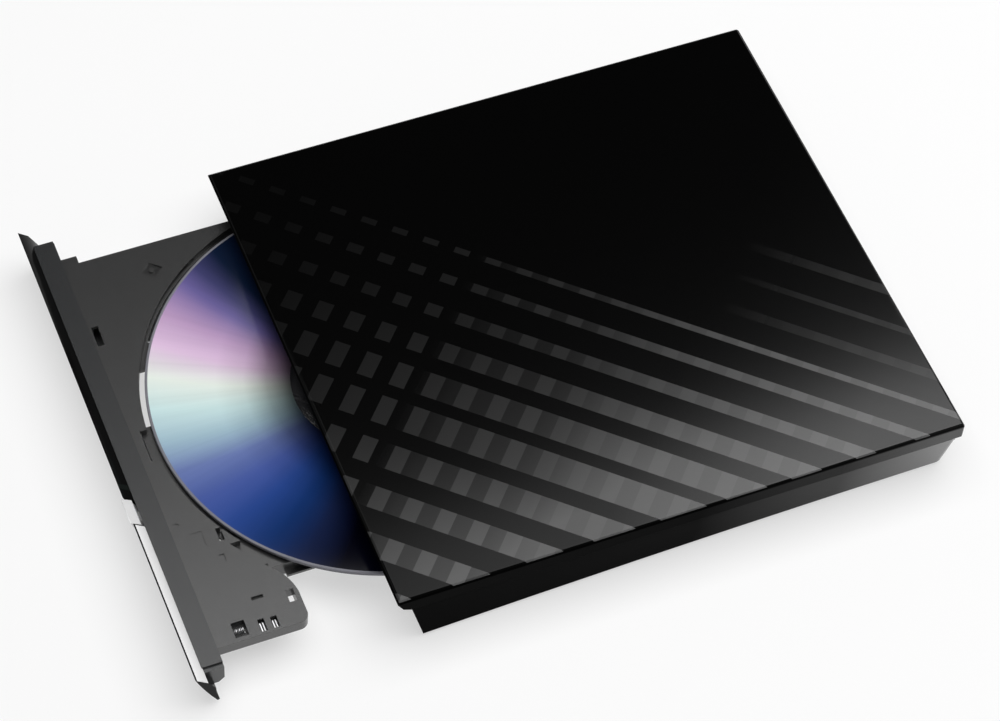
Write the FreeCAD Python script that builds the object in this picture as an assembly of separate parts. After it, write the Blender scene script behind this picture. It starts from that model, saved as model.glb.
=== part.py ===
import FreeCAD, Part
import math
import os

# External slim disc drive with its tray drawn out 52 mm, a disc on the hub.
# Case frame: X to the right seen from the front, Y from the cover's front edge to the back, Z up,
# with the feet on z = 0. Every size is in millimetres. The last step moves the model so that the
# origin lies under the middle of its bounding box.

# Case
case_width = 142.4
case_depth = 155.0
case_height = 20.0
foot_stand = 1.2
cover_side = 5.0
cover_skin = 1.6
cover_wall = 1.6
cover_bevel = 0.8
cover_corner = 0.8
visor_brow = 1.0
visor_setback = 1.5
visor_drop = 2.7
visor_heel = 3.9
visor_depth = 5.6
shell_inset = 0.2
shell_seam = 0.3
shell_wall = 1.5
shell_floor = 1.6
shell_corner = 3.0
shell_front_lean = 3.4
shell_draw_front = 0.4
shell_draw_middle = 1.8
shell_draw_rear = 2.8
shell_rear_lean = 1.0
lip_height = 1.3
lip_thick = 0.8
lip_gap = 0.2
lip_band = 0.5
lip_front = 24.0

# Feet, posts and case screws
foot_radius = 4.5
foot_sides = 20
foot_recess = 0.6
foot_inset = 15.2
foot_front_y = 16.0
foot_rear_y = 139.0
post_rear_inset = 13.2
post_rear_y = 147.0
post_front_inset = 4.0
post_front_y = 15.0
post_rear_radius = 2.6
post_front_radius = 1.8
screw_radius = 0.8
screw_clear = 0.15
screw_head_radius = 1.6
screw_head_height = 0.9
screw_length = 7.0

# Drive mechanism and its chassis
mech_x = 0.8
chassis_half = 64.0
chassis_sheet = 0.6
chassis_front = 8.4
chassis_depth = 126.5
chassis_lift = 1.5
chassis_height = 12.7
lid_sheet = 0.4
lid_flange = 3.0
step_x = 47.4
step_height = 5.0
bead_radius = 42.0
bead_width = 3.0
bead_height = 0.35
standoff_radius = 2.6
standoff_x = 42.0
standoff_front_y = 32.0
standoff_rear_y = 118.0

# Telescoping rails, measured from the face of the wall that carries them
guide_back = 0.65
guide_reach = 2.1
guide_flange = 0.55
guide_front = 10.0
guide_length = 60.0
rail_gap = 0.2
rail_back_gap = 0.12
rail_sheet = 0.5
rail_height = 2.4
rail_reach = 2.75
rail_length_left = 118.0
rail_length_right = 108.0
rail_rear = 128.0
runner_height = 0.9
runner_tip_gap = 0.2
tray_wall_gap = 3.1

# Tray travel
tray_open = 52.0
seam_closed = 8.0
rail_ratio = 0.5

# Tray, measured from its front face backwards
tray_length = 125.5
tray_top = 12.8
tray_plate = 1.2
tray_floor_low = 9.4
tray_wall = 1.4
recess_floor = 10.4
recess_radius = 61.4
recess_rim = 1.2
disc_from_front = 65.5
wing_half = 63.1
wing_depth = 24.1
wing_corner = 2.5
wing_hollow_x = 56.5
tab_reach = 2.4
tab_length = 4.2
tab_thick = 1.5
skirt_low = 5.6
rear_skirt_low = 7.6
skirt_end = 90.0
base_sheet = 0.4
base_front = 1.6

# Disc and spindle
disc_radius = 60.0
disc_bore = 7.5
disc_thick = 1.2
disc_low = 11.0
hub_gap = 0.15
hub_rise = 1.0
pad_thick = 0.3
pad_outer = 13.2
pad_inner = 9.6
rotor_radius = 13.4
rotor_low = 8.5
rotor_height = 2.2
spindle_shaft = 1.0
shaft_gap = 0.03
claw_angle = 0.0
claw_back = 3.8
claw_width = 2.2
claw_travel = 0.4
shaft_low = 6.3
stator_radius = 10.6
stator_low = 5.7
stator_height = 2.5

# Pickup traverse, in a frame turned so that its X runs outwards from the spindle
traverse_angle = 225.0
window_half = 14.6
window_reach = 61.0
traverse_low = 8.2
traverse_thick = 0.8
traverse_half = 17.4
traverse_back = 16.0
traverse_reach = 66.0
ear_reach = 5.0
rod_radius = 1.0
rod_offset = 15.5
rod_height = 6.9
rod_start = 11.2
rod_gap = 0.04
clamp_length = 1.6
lens_home = 25.0
sled_inward = 10.5
sled_outward = 6.5
sled_half_width = 17.0
sled_low = 5.75
sled_high = 8.0
sled_top = 9.2
sled_mid_half = 12.6
actuator_half = 6.0
actuator_length = 5.4
actuator_top = 9.95
lens_radius = 2.2
lens_top = 10.2
screw_line = -20.4
screw_height = 7.4
lead_radius = 0.75
lead_end = 60.0
nut_length = 5.0
nut_gap = 0.05
motor_start = -22.0
motor_length = 9.0
motor_radius = 3.6
motor_half_height = 1.8

# Bezel and front panel, measured from the tray's front face
bezel_half = 69.0
bezel_top = 13.0
bezel_low = 6.0
bezel_wall = 1.4
clip_width = 5.0
clip_low = 8.2
panel_half = 72.2
panel_taper = 0.9
panel_top = 15.7
panel_low = 1.5
panel_top_y = -8.4
panel_low_y = -2.7
panel_tip = 0.6
panel_bulge = 0.3
strip_depth = 2.7
strip_drop = 2.3
panel_knee_y = -3.1
panel_knee_z = 8.4
panel_shin_y = -2.9
panel_shin_z = 6.0
button_x = 20.3
button_width = 7.8
button_low = 9.0
button_proud = 0.6
button_gap = 0.2
button_travel = 0.6
stem_width = 3.0
stem_low = 10.0
stem_high = 11.4
led_x = 12.6
led_width = 1.8
led_low = 13.0
eject_hole_x = 32.0
eject_hole_radius = 0.6
eject_hole_z = 8.0

# Latch, switch and board under the tray's front
board_low = 8.4
board_thick = 0.8
board_left = 6.0
board_right = 28.0
board_front = 2.2
board_depth = 10.0
switch_width = 3.6
switch_depth = 1.6
switch_front = 3.65
plunger_width = 1.6
plunger_height = 0.8
latch_x = 36.0
latch_y = 5.2
latch_low = 5.9
latch_thick = 1.3
latch_pin_radius = 0.8
latch_bush_radius = 2.0
catch_x = 30.0
catch_from_front = 7.0
catch_radius = 1.0
catch_high = 7.3
catch_gap = 0.25
solenoid_x = 33.0
solenoid_y = 18.0

# Boards and sockets behind the mechanism
main_board_low = 5.2
main_board_thick = 0.8
main_board_depth = 26.0
bridge_low = 4.6
bridge_thick = 1.0
bridge_front = 137.5
bridge_depth = 13.5
bridge_half = 44.0
usb_x = -36.0
usb_width = 7.7
usb_height = 3.9
usb_depth = 9.2
usb_sheet = 0.35
usb_gap = 0.3
usb_flush = 1.2
sata_x = 20.0
sata_width = 32.0
sata_height = 4.4

cover_low = case_height - cover_side
shell_half_front = case_width / 2 - shell_draw_front
shell_half_middle = case_width / 2 - shell_draw_middle
shell_half_rear = case_width / 2 - shell_draw_rear
foot_x = case_width / 2 - foot_inset
post_rear_x = case_width / 2 - post_rear_inset
post_front_x = case_width / 2 - post_front_inset
floor_top = foot_stand + shell_floor
chassis_low = floor_top + chassis_lift
pan_top = chassis_low + chassis_sheet
lid_low = chassis_low + chassis_height - lid_sheet
chassis_rear = chassis_front + chassis_depth
shelf_top = chassis_low + step_height
tray_y = seam_closed - tray_open
spindle_y = tray_y + disc_from_front
rail_low = pan_top + guide_flange + rail_gap
rail_mid = rail_low + rail_height / 2
tray_left = -chassis_half + chassis_sheet + tray_wall_gap
tray_right = step_x - tray_wall_gap
base_low = skirt_low - base_sheet
screw_hole = screw_radius + screw_clear


def vec(x, y, z=0.0):
    return FreeCAD.Vector(x, y, z)


def box(x0, x1, y0, y1, z0, z1):
    return Part.makeBox(x1 - x0, y1 - y0, z1 - z0, vec(x0, y0, z0))


def cyl(radius, x, y, z0, z1):
    return Part.makeCylinder(radius, z1 - z0, vec(x, y, z0))


def peg(radius, x, y, z0, z1, sides=12):
    """A small upright round detail, kept to few faces."""
    turn = 2 * math.pi / sides
    points = [(x + radius * math.cos((k + 0.5) * turn),
               y + radius * math.sin((k + 0.5) * turn)) for k in range(sides)]
    return plate(points, z0, z1)


def rod_x(radius, x0, x1, y, z):
    return Part.makeCylinder(radius, x1 - x0, vec(x0, y, z), vec(1, 0, 0))


def rod_y(radius, x, y0, y1, z, sides=12):
    """A small round detail along Y, kept to few faces."""
    turn = 2 * math.pi / sides
    points = [(x + radius * math.cos(k * turn), z + radius * math.sin(k * turn)) for k in range(sides)]
    return bar_y(points, y0, y1)


def plate(points, z0, z1):
    """A flat plate of the outline given in plan, from z0 to z1."""
    wire = Part.makePolygon([vec(x, y, z0) for x, y in points + points[:1]])
    return Part.Face(wire).extrude(vec(0, 0, z1 - z0))


def bar(points, x0, x1):
    """A bar along X of the section given as (y, z) points."""
    wire = Part.makePolygon([vec(x0, y, z) for y, z in points + points[:1]])
    return Part.Face(wire).extrude(vec(x1 - x0, 0, 0))


def fuse(shapes):
    return shapes[0].multiFuse(shapes[1:]).removeSplitter()


def cut(shape, tools):
    return shape.cut(Part.makeCompound(tools)) if tools else shape


def fillet_upright(shape, radius, wanted):
    """Round the upright edges whose plan position the test accepts."""
    edges = []
    for edge in shape.Edges:
        a, b = edge.Vertexes[0].Point, edge.Vertexes[-1].Point
        if abs(a.x - b.x) + abs(a.y - b.y) < 1e-6 and wanted(a.x, a.y):
            edges.append(edge)
    return shape.makeFillet(radius, edges)


def moved(shape, x=0.0, y=0.0, z=0.0):
    copy = shape.copy()
    copy.translate(vec(x, y, z))
    return copy


def arc_edge(start, middle, end):
    return Part.Arc(start, middle, end).toShape()


# Case: top cover, bottom shell, feet and screws

def make_top_cover():
    brow = case_height - visor_brow
    section = [(0, case_height), (case_depth, case_height), (case_depth, cover_low),
               (visor_heel, cover_low),
               (visor_setback, brow - visor_drop), (0, brow)]
    half = case_width / 2
    cover = bar(section, -half, half)
    cover = fillet_upright(cover, cover_corner, lambda x, y: y > case_depth - 1)
    rim = [e for e in cover.Edges if min(v.Z for v in e.Vertexes) > case_height - 0.01]
    cover = cover.makeChamfer(cover_bevel, rim)
    skin_low = case_height - cover_skin
    cavity = box(-half + cover_wall, half - cover_wall, visor_depth, case_depth - cover_wall,
                 cover_low - 1, skin_low)
    cover = cover.cut(cavity)
    lid_top = lid_low + lid_sheet
    ribs = [box(-half + cover_wall, half - cover_wall, y, y + 1.0, lid_top + 0.4, skin_low)
            for y in (40.0, 75.0, 110.0)]
    posts = []
    for side in (1, -1):
        posts.append(peg(post_rear_radius, side * post_rear_x, post_rear_y, post_seat(), skin_low))
        posts.append(peg(post_front_radius, side * post_front_x, post_front_y, post_seat(), skin_low))
    cover = fuse([cover] + ribs + posts)
    pilots = [peg(screw_radius, x, y, post_seat() - 1, screw_end()) for x, y, r in post_places()]
    return cut(cover, pilots)


def post_seat():
    """Height at which the cover's posts meet the bottom shell's bosses."""
    return chassis_low + 3.0


def post_places():
    places = []
    for side in (1, -1):
        places.append((side * post_rear_x, post_rear_y, post_rear_radius))
        places.append((side * post_front_x, post_front_y, post_front_radius))
    return places


def screw_end():
    return foot_stand + screw_head_height + screw_length


def shell_outline(z, half_front, half_middle, half_rear, y_front, y_rear, corner):
    """Plan outline of the bottom shell at one height; its sides draw in towards the rear."""
    y_mid = y_front + 0.4 * (y_rear - y_front)
    rear_straight = half_rear - corner
    near = vec(half_front, y_front, z)
    far = vec(half_rear, y_rear - corner, z)
    edges = [Part.LineSegment(vec(-half_front, y_front, z), near).toShape()]
    edges.append(arc_edge(near, vec(half_middle, y_mid, z), far))
    turn = corner * (1 - math.sqrt(0.5))
    edges.append(arc_edge(far, vec(half_rear - turn, y_rear - turn, z), vec(rear_straight, y_rear, z)))
    edges.append(Part.LineSegment(vec(rear_straight, y_rear, z),
                                  vec(-rear_straight, y_rear, z)).toShape())
    left_far = vec(-half_rear, y_rear - corner, z)
    edges.append(arc_edge(vec(-rear_straight, y_rear, z), vec(-half_rear + turn, y_rear - turn, z),
                          left_far))
    edges.append(arc_edge(left_far, vec(-half_middle, y_mid, z), vec(-half_front, y_front, z)))
    return Part.Wire(edges)


def shell_body(inset, z_low, z_high, front_extra):
    """The shell's leaning block between two heights, drawn in by the inset."""
    top_half = case_width / 2 - shell_inset
    full_low = foot_stand
    full_high = cover_low - shell_seam

    def at(z):
        share = (full_high - z) / (full_high - full_low)
        front = top_half + share * (shell_half_front - top_half)
        middle = top_half + share * (shell_half_middle - top_half) - 0.05
        rear = top_half + share * (shell_half_rear - top_half)
        y_front = visor_heel + share * shell_front_lean - front_extra
        y_rear = case_depth - shell_inset - share * shell_rear_lean - inset
        corner = max(shell_corner - inset, 0.5)
        return shell_outline(z, front - inset, middle - inset, rear - inset, y_front, y_rear, corner)

    return Part.makeLoft([at(z_low), at(z_high)], True, True)


def make_bottom_shell():
    seam = cover_low - shell_seam
    outer = shell_body(0.0, foot_stand, seam, 0.0)
    cavity = shell_body(shell_wall, floor_top, seam + 1, 12.0)
    shell = outer.cut(cavity)
    lip_out = case_width / 2 - cover_wall - lip_gap
    lip_in = lip_out - lip_thick
    rear = case_depth - cover_wall - lip_gap
    band_out = lip_out + lip_band
    lip = fuse([box(-band_out, band_out, lip_front, rear + lip_band, seam - 2.5, seam),
                box(-lip_out, lip_out, lip_front, rear, seam - 1.0, cover_low + lip_height)])
    lip = lip.cut(box(-lip_in, lip_in, lip_front - 1, rear - lip_thick, 0, case_height))
    bosses = [peg(r + 0.4, x, y, foot_stand + 0.2, post_seat()) for x, y, r in post_places() if r > 2]
    bosses += [peg(r, x, y, foot_stand + 0.2, post_seat()) for x, y, r in post_places() if r < 2]
    standoffs = [peg(standoff_radius, x, y, foot_stand + 0.2, chassis_low) for x, y in standoff_places()]
    bridge_posts = [peg(2.0, x, bridge_front + 8.0, foot_stand + 0.2,
                        bridge_low) for x in bridge_screw_x()]
    shell = fuse([shell, lip] + bosses + standoffs + bridge_posts)
    tools = []
    for x, y, r in post_places():
        tools.append(peg(screw_hole, x, y, 0, case_height))
        tools.append(peg(screw_head_radius + screw_clear, x, y, 0, foot_stand + screw_head_height))
    for x, y in standoff_places():
        tools.append(peg(screw_hole, x, y, 0, case_height))
        tools.append(peg(screw_head_radius + screw_clear, x, y, 0, foot_stand + screw_head_height))
    for x in bridge_screw_x():
        tools.append(peg(screw_radius, x, bridge_front + 8.0, floor_top - 0.5, case_height))
    for x, y in foot_places():
        tools.append(peg(foot_radius + 0.1, x, y, 0, foot_stand + foot_recess, foot_sides))
    low = usb_low() - usb_gap
    tools.append(box(usb_x - usb_width / 2 - usb_gap, usb_x + usb_width / 2 + usb_gap, case_depth - 6,
                     case_depth + 1,
                     low, low + usb_height + 2 * usb_gap))
    return cut(shell, tools)


def foot_places():
    return [(side * foot_x, y) for side in (1, -1) for y in (foot_front_y, foot_rear_y)]


def standoff_places():
    return [(mech_x + side * standoff_x, y) for side in (1, -1) for y in (standoff_front_y,
                                                                          standoff_rear_y)]


def bridge_screw_x():
    return (-20.0, bridge_half - 4.0)


def make_rubber_feet():
    feet = []
    for x, y in foot_places():
        feet.append(peg(foot_radius, x, y, 0, foot_stand + foot_recess, foot_sides))
    return Part.makeCompound(feet)


def screw_up(x, y, z_head, length, radius=screw_radius, head=screw_head_radius, rise=screw_head_height):
    """A small machine screw driven upwards, with a cross slot in its head."""
    body = peg(head, x, y, z_head,
               z_head + rise).fuse(peg(radius, x, y, z_head + rise, z_head + rise + length))
    slots = [box(x - head * 0.6, x + head * 0.6, y - 0.18, y + 0.18, z_head - 1, z_head + rise * 0.5),
             box(x - 0.18, x + 0.18, y - head * 0.6, y + head * 0.6, z_head - 1, z_head + rise * 0.5)]
    return cut(body, slots)


def make_case_screws():
    length = screw_length - 0.5
    return Part.makeCompound([screw_up(x, y, foot_stand, length) for x, y, r in post_places()])


def make_chassis_screws():
    length = pan_top + 0.1 - foot_stand - screw_head_height
    return Part.makeCompound([screw_up(x, y, foot_stand, length) for x, y in standoff_places()])


# Chassis of the mechanism: stamped pan and lid, with the rail guides

def make_chassis_pan():
    left = mech_x - chassis_half
    right = mech_x + chassis_half
    step = mech_x + step_x
    t = chassis_sheet
    section = [(left, lid_low), (left, chassis_low), (step + t, chassis_low), (step + t, shelf_top - t),
               (right, shelf_top - t), (right, lid_low), (right - t, lid_low), (right - t, shelf_top),
               (step, shelf_top), (step, pan_top), (left + t, pan_top), (left + t, lid_low)]
    wire = Part.makePolygon([vec(x, chassis_front, z) for x, z in section + section[:1]])
    pan = Part.Face(wire).extrude(vec(0, chassis_depth, 0))
    rear_low = box(left, step + t, chassis_rear - t, chassis_rear, chassis_low, lid_low)
    rear_high = box(step, right, chassis_rear - t, chassis_rear, shelf_top - t, lid_low)
    pan = fuse([pan, rear_low, rear_high])
    tools = [peg(screw_hole, x, y, 0, pan_top + 1) for x, y in standoff_places()]
    tools.append(box(mech_x - 50, mech_x - 18, 40, 74, 0, pan_top + 1))
    tools.append(box(sata_x - sata_width / 2 - 0.3, sata_x + sata_width / 2 + 0.3, chassis_rear - 2,
                     chassis_rear + 1,
                     main_board_low + 0.5, main_board_low + 0.5 + sata_height + 0.9))
    for k in range(3):
        tools.append(peg(2.5, mech_x + 10 + 12 * k, 60 + 6 * k, 0, pan_top + 1))
    return cut(pan, tools)


def make_chassis_lid():
    left = mech_x - chassis_half - lid_sheet
    right = mech_x + chassis_half + lid_sheet
    top = lid_low + lid_sheet
    sheet = box(left, right, chassis_front, chassis_rear + lid_sheet, lid_low, top)
    flanges = [box(left, left + lid_sheet, chassis_front + 8, chassis_rear - 6, top - lid_flange,
                   lid_low),
               box(right - lid_sheet, right, chassis_front + 8, chassis_rear - 6, top - lid_flange,
                   lid_low),
               box(left + 6, right - 6, chassis_rear, chassis_rear + lid_sheet, top - lid_flange,
                   lid_low)]
    cx, cy = mech_x, seam_closed + disc_from_front
    ring = peg(bead_radius + bead_width / 2, cx, cy, top - 0.1, top + bead_height, 36)
    ring = ring.cut(peg(bead_radius - bead_width / 2, cx, cy, 0, top + 1, 36))
    return fuse([sheet] + flanges + [ring])


def rail_wall(side):
    """Inner face of the pan's wall that carries a rail, and the way from it to the tray."""
    if side < 0:
        return mech_x - chassis_half + chassis_sheet, 1
    return mech_x + step_x, -1


def channel(side, near, far, z_low, z_high, back, flange, y0, y1):
    """A C-shaped channel that opens towards the tray."""
    face, way = rail_wall(side)
    x0, x1 = sorted((face + way * near, face + way * far))
    body = box(x0, x1, y0, y1, z_low, z_high)
    i0, i1 = sorted((face + way * (near + back), face + way * (far + 1)))
    return body.cut(box(i0, i1, y0 - 1, y1 + 1, z_low + flange, z_high - flange))


def make_rail_guide(side):
    high = rail_low + rail_height + rail_gap + guide_flange
    return channel(side, 0.0, guide_reach, pan_top, high, guide_back, guide_flange,
                   guide_front, guide_front + guide_length)


def make_rail(side):
    """One sliding rail at half the tray's travel, with a bent stop lug at its rear end."""
    length = rail_length_left if side < 0 else rail_length_right
    near = guide_back + rail_back_gap
    y1 = rail_rear - rail_ratio * tray_open
    rail = channel(side, near, rail_reach, rail_low, rail_low + rail_height, rail_sheet, rail_sheet,
                   y1 - length, y1)
    slots = []
    for k in range(5):
        y = y1 - length + 12 + k * (length - 24) / 4
        face, way = rail_wall(side)
        x0, x1 = sorted((face + way * (near - 0.5), face + way * (near + rail_sheet + 0.3)))
        slots.append(box(x0, x1, y - 2.0, y + 2.0, rail_mid - 0.35, rail_mid + 0.35))
    return cut(rail, slots)


# Tray

def disc_zone(radius, z0, z1):
    return cyl(radius, 0, disc_from_front, z0, z1)


def ring_sector(r_in, r_out, x0, x1, y1, z0, z1):
    """The part of a ring about the spindle that lies between x0 and x1 and in front of y1."""
    ring = disc_zone(r_out, z0, z1).cut(disc_zone(r_in, z0 - 1, z1 + 1))
    return ring.common(box(x0, x1, -5, y1, z0 - 1, z1 + 1))


def tray_outline():
    """Plan of the tray from the front left corner round to the right, with the wing at the front right."""
    x_left = tray_left
    x_right = tray_right
    edges = []
    points = [(x_left, 0), (wing_half, 0), (wing_half, wing_depth - wing_corner)]
    for a, b in zip(points, points[1:]):
        edges.append(Part.LineSegment(vec(*a), vec(*b)).toShape())
    turn = wing_corner * (1 - math.sqrt(0.5))
    corner_end = (wing_half - wing_corner, wing_depth)
    edges.append(arc_edge(vec(*points[-1]), vec(wing_half - turn, wing_depth - turn), vec(*corner_end)))
    wing_inner = (x_right + 10.0, wing_depth)
    edges.append(Part.LineSegment(vec(*corner_end), vec(*wing_inner)).toShape())
    wing_root = (x_right, wing_depth - 5.4)
    edges.append(arc_edge(vec(*wing_inner), vec(x_right + 4.6, wing_depth - 1.7), vec(*wing_root)))
    points = [wing_root, (x_right, tray_length), (x_left, tray_length), (x_left, 0)]
    for a, b in zip(points, points[1:]):
        edges.append(Part.LineSegment(vec(*a), vec(*b)).toShape())
    return Part.Wire(edges)


def traverse_place(shape):
    """Turn a piece of the traverse from its own frame to its place on the tray."""
    copy = shape.copy()
    copy.rotate(vec(0, 0, 0), vec(0, 0, 1), traverse_angle)
    copy.translate(vec(0, disc_from_front, 0))
    return copy


def damper_places():
    return [(-traverse_back + 1.8, 11.5), (-traverse_back + 1.8, -11.5), (39.0, traverse_half + 2.2)]


def make_tray():
    face = Part.Face(tray_outline())
    face.translate(vec(0, 0, tray_floor_low))
    upper = face.extrude(vec(0, 0, tray_top - tray_floor_low))
    tab = box(tray_left - tab_reach, tray_left + 1, 0, tab_length, tray_top - tab_thick, tray_top)
    walls = [box(tray_left, tray_left + tray_wall, 0, tray_length, skirt_low, tray_floor_low),
             box(tray_right - tray_wall, tray_right, 0, tray_length, skirt_low, tray_floor_low),
             box(tray_left, tray_right, 0, tray_wall, skirt_low, tray_floor_low),
             box(tray_left, tray_right, tray_length - tray_wall, tray_length, rear_skirt_low,
                 tray_floor_low)]
    runners = []
    for side in (-1, 1):
        wall_x, way = rail_wall(side)
        tip = wall_x - mech_x + way * (guide_back + rail_back_gap + rail_sheet + runner_tip_gap)
        edge = tray_left if side < 0 else tray_right
        x0, x1 = sorted((tip, edge - 0.2 * way * -1))
        y0 = 3.0 if side < 0 else wing_depth
        runners.append(box(x0, x1, y0, tray_length - 2.0, rail_mid - runner_height / 2,
                           rail_mid + runner_height / 2))
    tray = fuse([upper, tab] + walls + [rib for rib in tray_ribs()])
    recess = disc_zone(recess_radius, recess_floor, tray_top + 1)
    hollow = tray_hollow()
    tray = cut(tray, [recess, hollow] + tray_openings() + front_windows())
    tray = fuse([tray] + runners + tray_bosses())
    return moved(cut(tray, tray_screw_holes()), mech_x, tray_y)


def tray_ribs():
    """Stiffening ribs under the floor on the side away from the traverse."""
    ribs = [box(8.0, tray_right - tray_wall, y, y + 1.0, skirt_low, tray_floor_low) for y in (34.0,
                                                                                              56.0, 78.0)]
    ribs.append(box(24.0, 25.0, 34.0, skirt_end, skirt_low, tray_floor_low))
    keep_clear = box(catch_x - mech_x - 2.2, catch_x - mech_x + 2.2, 0, tray_length, 0, catch_high + 0.6)
    traverse_room = traverse_place(box(-traverse_back - 0.6, traverse_reach,
                                       -traverse_half - ear_reach - 0.6,
                                       traverse_half + ear_reach + 0.6, 0, tray_floor_low))
    return [rib.cut(keep_clear).cut(traverse_room) for rib in ribs]


def tray_hollow():
    """Room under the raised corners outside the recess, and under the wing."""
    under = tray_top - tray_plate
    inner = box(tray_left + tray_wall, tray_right - tray_wall, tray_wall, tray_length - tray_wall,
                tray_floor_low - 1, under)
    inner = inner.cut(disc_zone(recess_radius + recess_rim, 0, case_height))
    wing = box(tray_right + 1.6, wing_hollow_x, tray_wall, wing_depth - 5.0, tray_floor_low - 1, under)
    return Part.makeCompound([inner, wing])


def window_plan(z0, z1, reach, half, hub):
    """The opening for the hub and the pickup."""
    slot = box(0, reach + 5, -half, half, z0, z1).common(cyl(reach, 0, 0, z0, z1))
    return slot.fuse(cyl(hub, 0, 0, z0, z1))


def tray_openings():
    """Openings and shallow marks of the tray's top, from the front left to the wing."""
    top = tray_top + 1
    tools = [traverse_place(window_plan(tray_floor_low - 1, recess_floor + 1, window_reach,
                                        window_half, rotor_radius + 1.0))]
    tools.append(box(-39.2, -32.8, 0.7, 2.6, tray_floor_low - 1, top))
    tools.append(ring_sector(recess_radius - 1.8, recess_radius, -23.4, -6.2, 12.0, tray_floor_low - 1,
                             top))
    tools.append(box(-4.0, 5.6, 2.3, 8.0, recess_floor, top))
    tools.append(ring_sector(recess_radius - 1, recess_radius + 2.3, 35.6, tray_right + 0.1, 30.0,
                             recess_floor, top))
    hook = box(30.2, 34.0, 10.7, 15.4, recess_floor - 0.4, top)
    tongue = box(31.0, 34.5, 12.0, 14.4, recess_floor - 1, top)
    tools.append(hook.cut(tongue))
    tools.append(box(52.1, 53.1, 12.4, 15.4, tray_top - 1.0, top))
    tools.append(box(53.1, 56.7, 21.0, 22.9, tray_floor_low - 1, top))
    tools.append(box(57.5, 61.9, 5.2, 8.6, recess_floor, top))
    tools.append(box(58.7, 62.3, 11.7, 13.3, recess_floor, top))
    tools.append(box(59.0, 62.3, 14.9, 16.5, recess_floor, top))
    tools.append(box(29.6, 34.2, 4.4, 7.2, tray_top - 0.2, top))
    tools.append(peg(0.7, 26.1, 1.9, tray_top - 0.3, top))
    tools.append(box(37.8, 40.2, 9.0, 10.4, tray_top - 0.3, top))
    mark_x, mark_y = -51.7, 21.4
    diamond = plate([(mark_x - 2.6, mark_y), (mark_x, mark_y - 2.9), (mark_x + 2.6, mark_y),
                     (mark_x, mark_y + 2.9)],
                    tray_top - 0.5, top)
    tools.append(diamond.cut(peg(0.8, mark_x, mark_y, 0, top)))
    for x, y in ((-40.0, 118.0), (36.0, 116.0)):
        tools.append(peg(2.0, x, y, tray_floor_low - 1, top))
    return tools


def front_windows():
    """Holes in the tray's front wall for the bezel's clips and the button's stem."""
    windows = [box(x - mech_x - 0.15, x - mech_x + clip_width + 0.15, -1, tray_wall + 0.01,
                   clip_low - 0.75, clip_low + 1.15)
               for x in clip_places()]
    half = stem_width / 2 + 0.2
    x = button_x - mech_x
    windows.append(box(x - half, x + half, -1, tray_wall + 0.01, stem_low - 0.2, tray_top - tray_plate))
    return windows


def boss_places():
    """Bosses for the base plate's screws, clear of the traverse and the latch."""
    return [(tray_left + 4.2, 5.2), (tray_left + 4.2, 84.0), (tray_right - 4.2, 86.0),
            (tray_right - 4.4, 31.4)]


def tray_bosses():
    bosses = []
    for x, y in boss_places():
        raised = math.hypot(x, y - disc_from_front) > recess_radius
        bosses.append(peg(1.9, x, y, skirt_low,
                          tray_top - tray_plate + 0.1 if raised else tray_floor_low + 0.3))
    return bosses


def tray_screw_holes():
    holes = [peg(screw_radius, x, y, 0, skirt_low + 3.2) for x, y in boss_places()]
    for x, y in damper_places():
        holes.append(traverse_place(peg(0.5, x, y, tray_floor_low - 1, tray_floor_low + 0.7)))
    return holes


def make_base_plate():
    left = tray_left
    right = tray_right
    sheet = box(left, right, base_front, skirt_end, base_low, skirt_low)
    slot_front = catch_from_front - catch_radius - catch_gap
    tools = [box(catch_x - mech_x - 1.5, catch_x - mech_x + 1.5, slot_front, skirt_end + 1, 0,
                 case_height),
             ring_sector(recess_radius - 5.4, recess_radius + 1.6, -31.0, -9.0, 12.0, 0, case_height),
             traverse_place(peg(5.0, 0, 0, 0, case_height, 20))]
    for x, y in boss_places():
        tools.append(sunk_head(x, y, 0.05))
    for k in range(4):
        tools.append(peg(2.2, 34.5, 40.0 + 11.0 * k, 0, case_height))
    sheet = cut(sheet, tools)
    return moved(sheet, mech_x, tray_y)


def make_base_screws():
    """Flush screws of the base plate, in its bosses."""
    screws = []
    for x, y in boss_places():
        screws.append(sunk_head(x, y, 0).fuse(peg(screw_radius, x, y, skirt_low, skirt_low + 2.8)))
    return moved(Part.makeCompound(screws), mech_x, tray_y)


def sunk_head(x, y, gap):
    """Flush head of a base plate screw, or the hole for it with a gap all round."""
    return peg(screw_head_radius + gap, x, y, base_low, base_low + base_sheet)


# Bezel, front panel and button

def panel_front_edge(offset=0.0):
    """Outer line of the panel's section: low end, bulging middle, top end."""
    low = vec(0, panel_low_y - offset, panel_low)
    top = vec(0, panel_top_y - offset, panel_top)
    middle = vec(0, (low.y + top.y) / 2 - panel_bulge, (low.z + top.z) / 2)
    return low, middle, top


def panel_section(offset=0.0):
    """Closed section of the leaning panel, from its thin lower edge to the strip on its top."""
    low, middle, top = panel_front_edge(offset)
    inner = vec(0, panel_top_y + strip_depth, panel_top - strip_drop)
    knee = vec(0, panel_knee_y, panel_knee_z)
    shin = vec(0, panel_shin_y, panel_shin_z)
    heel = vec(0, panel_low_y + panel_tip, panel_low + 0.3)
    edges = [arc_edge(low, middle, top)]
    points = [top, inner, knee, shin, heel, low]
    for a, b in zip(points, points[1:]):
        edges.append(Part.LineSegment(a, b).toShape())
    return Part.Face(Part.Wire(edges))


def panel_block(x0, x1, offset=0.0):
    face = panel_section(offset)
    face.translate(vec(x0, 0, 0))
    return face.extrude(vec(x1 - x0, 0, 0))


def button_slot(gap):
    half = button_width / 2 + gap
    return box(button_x - half, button_x + half, -20, 5, button_low - gap, case_height)


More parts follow.
